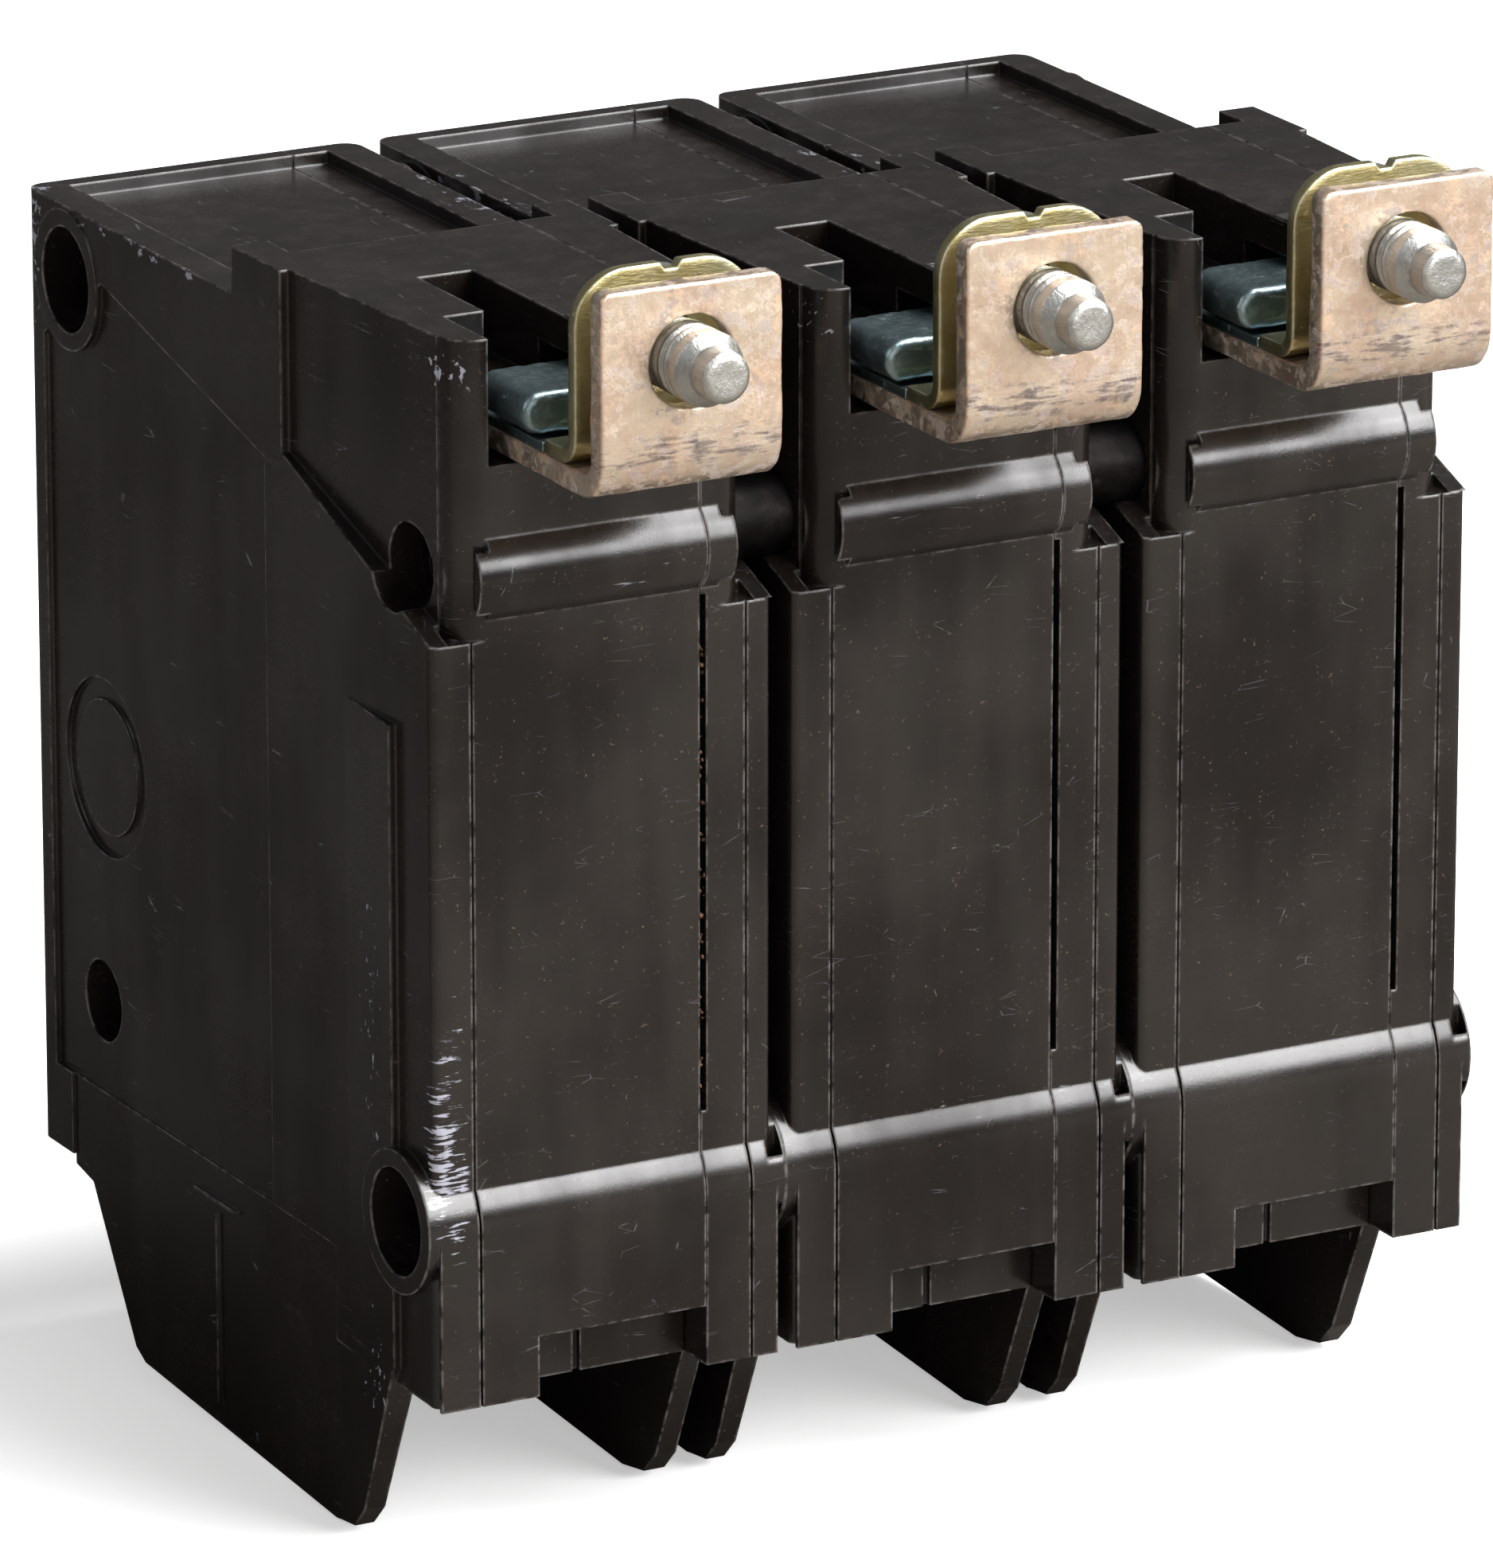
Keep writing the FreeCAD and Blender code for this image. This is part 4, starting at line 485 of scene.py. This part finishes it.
def quads(rows, columns, close_columns=False):
    """The faces of a grid of points given row by row; the rows are closed loops where asked."""
    r, c = np.meshgrid(np.arange(rows - 1), np.arange(columns if close_columns else columns - 1),
                       indexing="ij")
    r2, c2 = r + 1, (c + 1) % columns
    corners = [r * columns + c, r * columns + c2, r2 * columns + c2, r2 * columns + c]
    return np.stack(corners, -1).reshape(-1, 4)


def piece(name, points, faces, finish, body, stands_for=(), modifiers=(), rough=(), sharp=40):
    """Make a finished piece from points in millimetres: weld it, point its faces outwards, run its
    modifiers, roughen it and set its sharp edges. rough is (depth, size, seed) of surface noise."""
    mesh = bpy.data.meshes.new(name)
    mesh.from_pydata((np.asarray(points) * MM).tolist(), [],
                     [tuple(face) for face in np.asarray(faces).tolist()])
    editing = bmesh.new()
    editing.from_mesh(mesh)
    bmesh.ops.remove_doubles(editing, verts=editing.verts, dist=WELD)
    bmesh.ops.dissolve_degenerate(editing, edges=editing.edges, dist=SLIVER)
    bmesh.ops.recalc_face_normals(editing, faces=editing.faces)
    editing.to_mesh(mesh)
    editing.free()
    item = bpy.data.objects.new(name, mesh)
    bpy.context.scene.collection.objects.link(item)
    for kind, settings in modifiers:
        modifier = item.modifiers.new(kind, kind)
        for key, value in settings.items():
            setattr(modifier, key, value)
    if modifiers:
        bpy.context.view_layer.update()
        done = bpy.data.meshes.new_from_object(item.evaluated_get(bpy.context.evaluated_depsgraph_get()))
        item.modifiers.clear()
        item.data = done
        bpy.data.meshes.remove(mesh)
        mesh = done
        mesh.name = name
    for depth, size, seed in rough:
        count = len(mesh.vertices)
        places, ways = np.empty(count * 3), np.empty(count * 3)
        mesh.vertices.foreach_get("co", places)
        mesh.vertices.foreach_get("normal", ways)
        places, ways = places.reshape(-1, 3), ways.reshape(-1, 3)
        places += ways * (ripple(places / MM, size, seed) * depth * MM)[:, None]
        mesh.vertices.foreach_set("co", places.ravel())
    mesh.polygons.foreach_set("use_smooth", np.ones(len(mesh.polygons), bool))
    mesh.set_sharp_from_angle(angle=math.radians(sharp))
    mesh.update()
    dress(item, finish)
    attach(item, body)
    if stands_for:
        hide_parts(*stands_for)
    return item


def bevel(width, segments):
    """A modifier that rounds edges sharper than 50 degrees."""
    return ("BEVEL", {"width": width * MM, "segments": segments, "limit_method": "ANGLE",
                      "angle_limit": math.radians(50), "use_clamp_overlap": True})


def solidify(thickness):
    """A modifier that gives a sheet its thickness, half on each side."""
    return ("SOLIDIFY", {"thickness": thickness * MM, "offset": 0.0, "use_even_offset": True})


def bent_path(corners, radii, step):
    """A path through corners in the Y-Z plane: straight runs with points about every step, and at each
    inner corner an arc of its radius that touches both runs. Returns the points."""
    arc_points = 13
    corners = np.array(corners, float)

    def straight(start, end):
        """Points from start to end, without the first."""
        return list(np.linspace(start, end, max(2, int(np.linalg.norm(end - start) / step)))[1:])

    points = [corners[0]]
    for before, corner, after, radius in zip(corners, corners[1:], corners[2:], radii):
        ahead, behind = after - corner, before - corner
        ahead, behind = ahead / np.linalg.norm(ahead), behind / np.linalg.norm(behind)
        half = math.acos(np.clip(-(ahead @ behind), -1, 1)) / 2
        back = radius * math.tan(half)
        centre = corner + (ahead + behind) / np.linalg.norm(ahead + behind) * radius / math.cos(half)
        first, last = corner + behind * back, corner + ahead * back
        a, b = first - centre, last - centre
        turn = math.atan2(a[0] * b[1] - a[1] * b[0], a @ b)
        angles = np.linspace(0, turn, arc_points)
        arc = centre + np.stack([a[0] * np.cos(angles) - a[1] * np.sin(angles),
                                 a[0] * np.sin(angles) + a[1] * np.cos(angles)], 1)
        points += straight(points[-1], first) + list(arc[1:])
    return np.array(points + straight(points[-1], corners[-1]))


def bent_plate(rise, end, middle, half, hole_radius, corner, below, notch=None, count=28):
    """A plate that follows the path rise in the Y-Z plane and ends in an upright run up to end, half wide
    each side of middle, with a round hole on the bolt's axis and rounded end corners.

    The lower part is a grid along the path. The end run starts at the height below, and is a ring of
    quads between its rounded outline and the hole; both use the same places along their shared edge.
    notch is (from, to, depth) in the end edge, and count how many quads lie across the plate.
    """
    rings = 7
    tall = end[1]
    across = np.linspace(-half, half, count + 1)
    rise = np.concatenate([rise, [[end[0], below]]])
    lower = np.stack(np.broadcast_arrays(middle + across[None, :], rise[:, None, 0], rise[:, None, 1]), -1)
    side = np.linspace(-1, 1, count + 1)[:-1]
    square = np.concatenate([
        np.stack([side, -np.ones(count)], 1), np.stack([np.ones(count), side], 1),
        np.stack([-side, np.ones(count)], 1), np.stack([-np.ones(count), -side], 1)])
    outline = square * (half, tall)
    outline[:, 1] = np.where(square[:, 1] < 0, -square[:, 1] * below, outline[:, 1])
    inner = np.array([half, tall]) - corner
    past = np.sign(outline) * np.maximum(np.abs(outline) - inner, 0)
    round_off = (np.abs(past) > 1e-9).all(1) & (outline[:, 1] > 0)
    longest, reach = np.abs(past).max(1), np.linalg.norm(past, axis=1)
    rounded = np.sign(outline) * inner + past * (longest / np.maximum(reach, 1e-9))[:, None]
    outline = np.where(round_off[:, None], rounded, outline)
    if notch:
        cut_in = (outline[:, 0] > notch[0]) & (outline[:, 0] < notch[1]) & (outline[:, 1] > tall - 0.01)
        outline[cut_in, 1] -= notch[2]
    angles = np.arctan2(square[:, 1], square[:, 0])
    circle = np.stack([np.cos(angles), np.sin(angles)], 1) * hole_radius
    share = (np.linspace(0, 1, rings + 1) ** 0.8)[:, None, None]
    flat = circle * (1 - share) + outline * share
    ring = np.stack(np.broadcast_arrays(middle + flat[..., 0], end[0], flat[..., 1]), -1)
    points = np.concatenate([lower.reshape(-1, 3), ring.reshape(-1, 3)])
    faces = np.concatenate([
        quads(len(rise), count + 1), lower[..., 0].size + quads(rings + 1, 4 * count, close_columns=True)])
    return points, faces


def turned(profile, columns, wobble):
    """A closed turned shape about the Y axis from (y, radius) pairs; wobble changes each radius from its
    place along Y and its angle. Its ends close on the axis."""
    profile = np.array(profile, float)
    angle = np.linspace(0, 2 * math.pi, columns, endpoint=False)
    y = np.broadcast_to(profile[:, :1], (len(profile), columns))
    radius = profile[:, 1:2] + wobble(y, angle[None, :])
    points = np.stack([radius * np.cos(angle), y, radius * np.sin(angle)], -1)
    return points, quads(len(profile), columns, close_columns=True)


# ---------------------------------------------------------------- line end pieces

def up_to_face(path, upright, below):
    """The part of a plate's path that lies before its upright face's run from the height below."""
    return path[(path[:, 0] < upright - 0.01) | (path[:, 1] < below - 0.1)]


def line_tab(pole, middle):
    """The bent copper tab with its contact leg: a middle sheet that runs up the leg, back along the foot
    and up the rear face, thickened to both sides, with a hole for the bolt."""
    low, high = limits(f"line_tab_{pole}")
    thick, foot, face_starts = 1.5, -8.4 + 0.75, -5.2
    hole_radius, corner = 2.95, 0.7
    leg, upright = low[1] + thick / 2, high[1] - thick / 2
    path = bent_path([(leg, low[2]), (leg, foot), (upright, foot), (upright, high[2])], (1.1, 1.95), 1.2)
    points, faces = bent_plate(up_to_face(path, upright, face_starts), (upright, high[2]), middle,
                               (high[0] - low[0]) / 2, hole_radius, corner, face_starts)
    piece(f"copper_tab_{pole}", points, faces, COPPER[pole], "case", [f"line_tab_{pole}"],
          [solidify(thick), bevel(0.16, 3)], [(0.035, 5.0, 3 + POLES[pole]), (0.012, 0.9, 9 + POLES[pole])])


def bolt_clip(pole, middle):
    """The thin plated clip in front of the tab: a middle sheet along the foot and up the face, thickened
    to both sides, with a hole for the bolt, round shoulders and a small notch in its end."""
    low, high = limits(f"bolt_clip_{pole}")
    thick, face_starts = 0.9, -4.6
    hole_radius, corner, notch = 2.35, 3.6, (-0.95, 0.2, 0.45)
    foot, upright = low[2] + thick / 2, high[1] - thick / 2
    path = bent_path([(low[1], foot), (upright, foot), (upright, high[2])], (1.35,), 0.7)
    points, faces = bent_plate(up_to_face(path, upright, face_starts), (upright, high[2]), middle,
                               (high[0] - low[0]) / 2, hole_radius, corner, face_starts, notch, 44)
    piece(f"bolt_clip_plate_{pole}", points, faces, OLIVE_ZINC, "case", [f"bolt_clip_{pole}"],
          [solidify(thick), bevel(0.1, 2)], [(0.02, 6.0, 5 + POLES[pole])])


def bolt_shank(end, head_rear):
    """The shank: a profile turned about the Y axis, with a neck, a rolled thread, a cone and a dog point.
    Returns its points, on the bolt's own axis, and its faces."""
    dog, cone, rim = 1.7, 0.7, 0.25
    neck_radius, thread_radius, dog_radius = 2.2, 2.38, 1.7
    neck_ends, thread_starts = -2.0, -1.6
    pitch, deep = 0.8, 0.26
    thread_rear = end - dog - cone
    along = np.concatenate([
        [head_rear - 0.6, head_rear - 0.6], np.linspace(head_rear - 0.5, thread_rear, 130),
        np.linspace(thread_rear, thread_rear + cone, 6)[1:],
        np.linspace(thread_rear + cone, end - rim, 6)[1:],
        [end - 0.12, end - 0.03, end, end - 0.02, end - 0.04]])
    radius = np.interp(
        along, [head_rear, neck_ends, thread_starts, thread_rear, thread_rear + cone, end - rim, end],
        [neck_radius, neck_radius, thread_radius, thread_radius, dog_radius, 1.62, 1.3])
    radius[0], radius[-3:] = 0.0, (1.15, 0.6, 0.0)

    def thread(y, angle):
        """A rolled thread: a flattened triangle wave of the place along Y and the angle, so that it winds
        round the axis, and fades out at both ends."""
        wave = np.abs(((y / pitch + angle / (2 * math.pi)) % 1.0) * 2 - 1)
        fade = np.clip((y + 2.2) / 0.6, 0, 1) * np.clip((thread_rear - 0.75 - y) / 0.4, 0, 1)
        fade = fade * np.clip((1.3 - y) / 0.2, 0, 1)
        return -deep * (1 - np.minimum(wave * 1.35, 1)) * fade

    return turned(np.stack([along, radius], 1), 72, thread)


def line_bolt(pole, middle):
    """The line bolt: its shank and a domed head with a slot. The head is a stack of slices across the
    slot: each slice is a closed loop over the domed top, down the side and back along the bottom, and
    the slices inside the slot have their top lowered."""
    low, high = limits(f"line_bolt_{pole}")
    head_thick, slot, slot_deep, dome = 2.4, 0.6, 1.1, 0.75
    head_front, head_rear, head = low[1], low[1] + head_thick, (high[0] - low[0]) / 2
    points, faces = bolt_shank(high[1], head_rear)
    points = points.reshape(-1, 3) + (middle, 0, 0)
    places = np.concatenate([-head * np.cos(np.linspace(0, math.pi / 2, 26)[:-1]), [0.0]])
    places = np.unique(np.concatenate([places, -places, [-slot, slot]]))
    low_x = np.repeat(places, np.where(np.isclose(np.abs(places), slot), 2, 1))
    # The slot's two edges are doubled, and the outer one of each pair stays on the dome.
    in_slot = np.abs(low_x) < slot + 1e-6
    edges = np.where(np.isclose(np.abs(low_x), slot))[0]
    in_slot[edges[0]], in_slot[edges[-1]] = False, False
    reach = np.sqrt(np.maximum(head ** 2 - low_x ** 2, 0))
    sweep = np.sin(np.linspace(-math.pi / 2, math.pi / 2, 31))
    across = reach[:, None] * sweep[None, :]
    far = np.sqrt(low_x[:, None] ** 2 + across ** 2) / head
    top = head_front + dome * far ** 3.2
    top = np.where(in_slot[:, None], np.maximum(top, head_front + slot_deep), top)
    top_loop = np.stack(np.broadcast_arrays(low_x[:, None], top, across), -1)
    back_loop = np.stack(np.broadcast_arrays(low_x[:, None], head_rear, across[:, ::-1]), -1)
    head_points = np.concatenate([top_loop, back_loop], 1)
    head_faces = quads(head_points.shape[0], head_points.shape[1], close_columns=True)
    points = np.concatenate([points, head_points.reshape(-1, 3) + (middle, 0, 0)])
    faces = np.concatenate([faces, faces.max() + 1 + head_faces])
    piece(f"line_bolt_shank_{pole}", points, faces, MATT_STEEL, f"line_bolt_{pole}", [f"line_bolt_{pole}"],
          rough=[(0.012, 0.8, 21 + POLES[pole])], sharp=38)


def steel_arm(pole):
    """The plated steel arm: a bar's outline with one round end, carried along Y. Near both ends it is
    drawn in as a quarter circle, which rounds its edges."""
    low, high = limits(f"steel_arm_{pole}")
    ease = 0.5
    half = (high[2] - low[2]) / 2
    around = np.linspace(-math.pi / 2, math.pi / 2, 15)
    end = np.stack([high[0] - half + half * np.cos(around), low[2] + half + half * np.sin(around)], 1)
    start = np.stack([np.full(9, low[0]), np.linspace(high[2], low[2], 9)], 1)
    top = np.linspace(end[-1], start[0], 24)[1:-1]
    bottom = np.linspace(start[-1], end[0], 24)[1:-1]
    outline = np.concatenate([end, top, start, bottom])
    centre = np.array([(low[0] + high[0]) / 2, (low[2] + high[2]) / 2])
    size = np.array([(high[0] - low[0]) / 2, half])
    round_over = np.linspace(0, math.pi / 2, 6)
    steps = np.concatenate([low[1] + ease * (1 - np.sin(round_over)),
                            np.linspace(low[1] + ease, high[1] - ease, 16)[1:-1],
                            high[1] - ease * (1 - np.sin(round_over[::-1]))])
    order = np.unique(np.round(steps, 5))
    inset = np.maximum(np.maximum(low[1] + ease - order, order - high[1] + ease), 0)
    inset = ease - np.sqrt(np.maximum(ease ** 2 - inset ** 2, 0))
    shrink = 1 - inset[:, None] / size[None, :]
    loops = centre + (outline[None] - centre) * shrink[:, None, :]
    loops = np.concatenate([np.broadcast_to(centre, (1, len(outline), 2)), loops,
                            np.broadcast_to(centre, (1, len(outline), 2))])
    order = np.concatenate([order[:1], order, order[-1:]])
    points = np.stack(np.broadcast_arrays(loops[..., 0], order[:, None], loops[..., 1]), -1)
    piece(f"zinc_arm_{pole}", points.reshape(-1, 3), quads(len(order), len(outline), close_columns=True),
          BLUE_ZINC, "case", [f"steel_arm_{pole}"], rough=[(0.03, 1.6, 31 + POLES[pole]), (0.02, 0.5, 37)])


def lumps(name, places, sizes, seed, finish):
    """Small broken grains on the case: each is a closed ball whose radius is changed by smooth noise of
    its own direction and squashed by its own three random factors."""
    rings, columns = 9, 10
    rng = np.random.default_rng(seed)
    tilt, turn = np.meshgrid(np.linspace(0, math.pi, rings),
                             np.linspace(0, 2 * math.pi, columns, endpoint=False), indexing="ij")
    ball = np.stack([np.sin(tilt) * np.cos(turn), np.sin(tilt) * np.sin(turn), np.cos(tilt)], -1)
    ball = ball.reshape(-1, 3)
    points, faces = [], []
    for place, size in zip(places, sizes):
        grain = ball * (1 + 0.28 * ripple(ball + rng.uniform(0, 50, 3), 2.2, seed))[:, None]
        grain = grain * rng.uniform(0.6, 1.25, 3) * size
        faces.append(quads(rings, columns, close_columns=True) + len(points) * len(ball))
        points.append(grain + place)
    piece(name, np.concatenate(points), np.concatenate(faces), finish, "case", sharp=25)


def joint_crumbs():
    """Brown moulding crumbs caught in the open joint of pole a, strung along its length and a little
    closer together towards its ends."""
    rng = np.random.default_rng(8)
    count, lowest, length = 64, -55.5, 34.0
    along = lowest + length * rng.beta(0.9, 0.8, count)
    joint = PITCH - JOINT_SIDE
    places = np.stack([joint + rng.uniform(-0.36, 0.10, count), CASE_REAR - rng.uniform(0.12, 0.5, count),
                       along], 1)
    lumps("joint_crumbs", places, rng.uniform(0.06, 0.17, count), 12, RUST_CRUMB)


def broken_lip(pole, middle):
    """The rough broken end of the moulded tongue beside the top slit: a sheet that follows the tongue's
    rear end and top edge, with coarse and fine noise, set just outside it."""
    across = np.linspace(middle - 6.4, middle + 1.1, 46)
    front, rear_end, top, bottom = -14.6, -12.47, -0.47, -2.8
    down = bent_path([(front, top), (rear_end, top), (rear_end, bottom)], (0.2,), 0.16)
    grid = np.stack(np.broadcast_arrays(across[None, :], down[:, None, 0], down[:, None, 1]), -1)
    grid = grid.reshape(-1, 3)
    # The noise grows from none to full over the last millimetre before the end.
    rear = np.clip(grid[:, 1] + 13.6, 0, 1)
    grid[:, 1] += rear * (0.24 + 0.17 * ripple(grid, 1.5, 61 + POLES[pole]))
    grid[:, 2] += rear * (0.06 + 0.05 * ripple(grid, 1.1, 71 + POLES[pole]))
    piece(f"broken_lip_{pole}", grid, quads(len(down), len(across)), BROKEN_PLASTIC, "case",
          modifiers=[solidify(0.05)], sharp=20)


for pole, place in POLES.items():
    middle = place * PITCH
    line_tab(pole, middle)
    bolt_clip(pole, middle)
    line_bolt(pole, middle)
    steel_arm(pole)
    broken_lip(pole, middle)
joint_crumbs()


# ---------------------------------------------------------------- studio

def studio_floor():
    """A pale flat sheet just under the object. In mirrored rays it is darker, and darkest towards the
    front: a painted reflection, as if dark paper lay before the object, which darkens what the case
    mirrors; to the camera it glows a little."""
    material, w, shader, place = start_material("pale studio sheet")
    pale, mirrored_dim, dark = (0.93, 0.93, 0.93, 1.0), (0.20, 0.18, 0.155, 1.0), (0.07, 0.066, 0.062, 1.0)
    turns_dark, all_dark = 40.0, -60.0
    place_y = w.node("SeparateXYZ", Vector=place).outputs["Y"]
    # Painted reflection: only where a mirrored ray meets it is the sheet drawn dim, and darker still towards
    # the front.
    mirrored = w.node("LightPath").outputs["Is Glossy Ray"]
    painted_reflection_dark = w.math("MULTIPLY", mirrored, w.ramp(place_y, turns_dark, all_dark))
    finish_material(w, shader, w.blend(w.blend(pale, mirrored_dim, mirrored), dark, painted_reflection_dark), 0.9)
    shader.inputs["Emission Color"].default_value = (1.0, 1.0, 1.0, 1.0)
    w.put(shader.inputs["Emission Strength"],
          w.math("MULTIPLY", w.node("LightPath").outputs["Is Camera Ray"], 0.45))
    shader.inputs["Specular IOR Level"].default_value = 0.1
    mesh = bpy.data.meshes.new("studio_floor")
    side, gap = 6.0, 0.0002
    level = CAD_BOX[0].z - gap
    mesh.from_pydata([(-side, -side, level), (side, -side, level), (side, side, level), (-side, side, level)],
                     [], [(0, 1, 2, 3)])
    item = bpy.data.objects.new("studio_floor", mesh)
    bpy.context.scene.collection.objects.link(item)
    dress(item, material)


def soft_light(name, place, size, power, colour=(1, 1, 1)):
    """A rectangular softbox at a place in metres, aimed at the object's middle."""
    aim = (0.0, -0.03, -0.03)
    lamp = bpy.data.lights.new(name, "AREA")
    lamp.shape, lamp.size, lamp.size_y = "RECTANGLE", size[0], size[1]
    lamp.energy, lamp.color = power, colour
    item = bpy.data.objects.new(name, lamp)
    item.location = place
    item.rotation_mode = "QUATERNION"
    item.rotation_quaternion = (Vector(aim) - Vector(place)).to_track_quat("-Z", "Y")
    bpy.context.scene.collection.objects.link(item)


def camera(azimuth, elevation, lens, away, right, up):
    """A camera that looks along the view axis of this azimuth and elevation, in degrees. It stands away
    millimetres back from the case's shoulder on the middle line, and right and up of that line."""
    a, e = math.radians(azimuth), math.radians(elevation)
    back = Vector((math.sin(a) * math.cos(e), -math.cos(a) * math.cos(e), math.sin(e)))
    across = Vector((0, 0, 1)).cross(back).normalized()
    over = back.cross(across)
    data = bpy.data.cameras.new("camera")
    data.lens, data.sensor_width, data.clip_end = lens, 36.0, 50.0    # clip_end in metres
    item = bpy.data.objects.new("camera", data)
    item.location = (Vector((0, CASE_REAR, SHOULDER)) + across * right + over * up + back * away) * MM
    item.rotation_mode = "QUATERNION"
    item.rotation_quaternion = (-back).to_track_quat("-Z", "Y")
    bpy.context.scene.collection.objects.link(item)
    bpy.context.scene.camera = item


studio_floor()
soft_light("overhead softbox", (-0.60, 0.36, 1.08), (1.2, 1.0), 46.0)
soft_light("rear softbox", (-0.60, 1.02, 0.56), (0.9, 0.6), 20.0)
soft_light("rear fill", (0.5, 1.5, 0.5), (1.4, 1.0), 6.0, (1.0, 0.94, 0.88))
soft_light("side fill", (1.5, -0.1, 0.9), (0.7, 0.9), 4.0)
camera(azimuth=151.63, elevation=17.43, lens=284.5, away=780.0, right=-13.35, up=-13.57)

world = bpy.data.worlds.new("studio")
world.use_nodes = True
world.node_tree.nodes["Background"].inputs["Color"].default_value = (1.0, 1.0, 1.0, 1.0)
world.node_tree.nodes["Background"].inputs["Strength"].default_value = 0.12
bpy.context.scene.world = world
bpy.context.scene.view_settings.view_transform = "Standard"
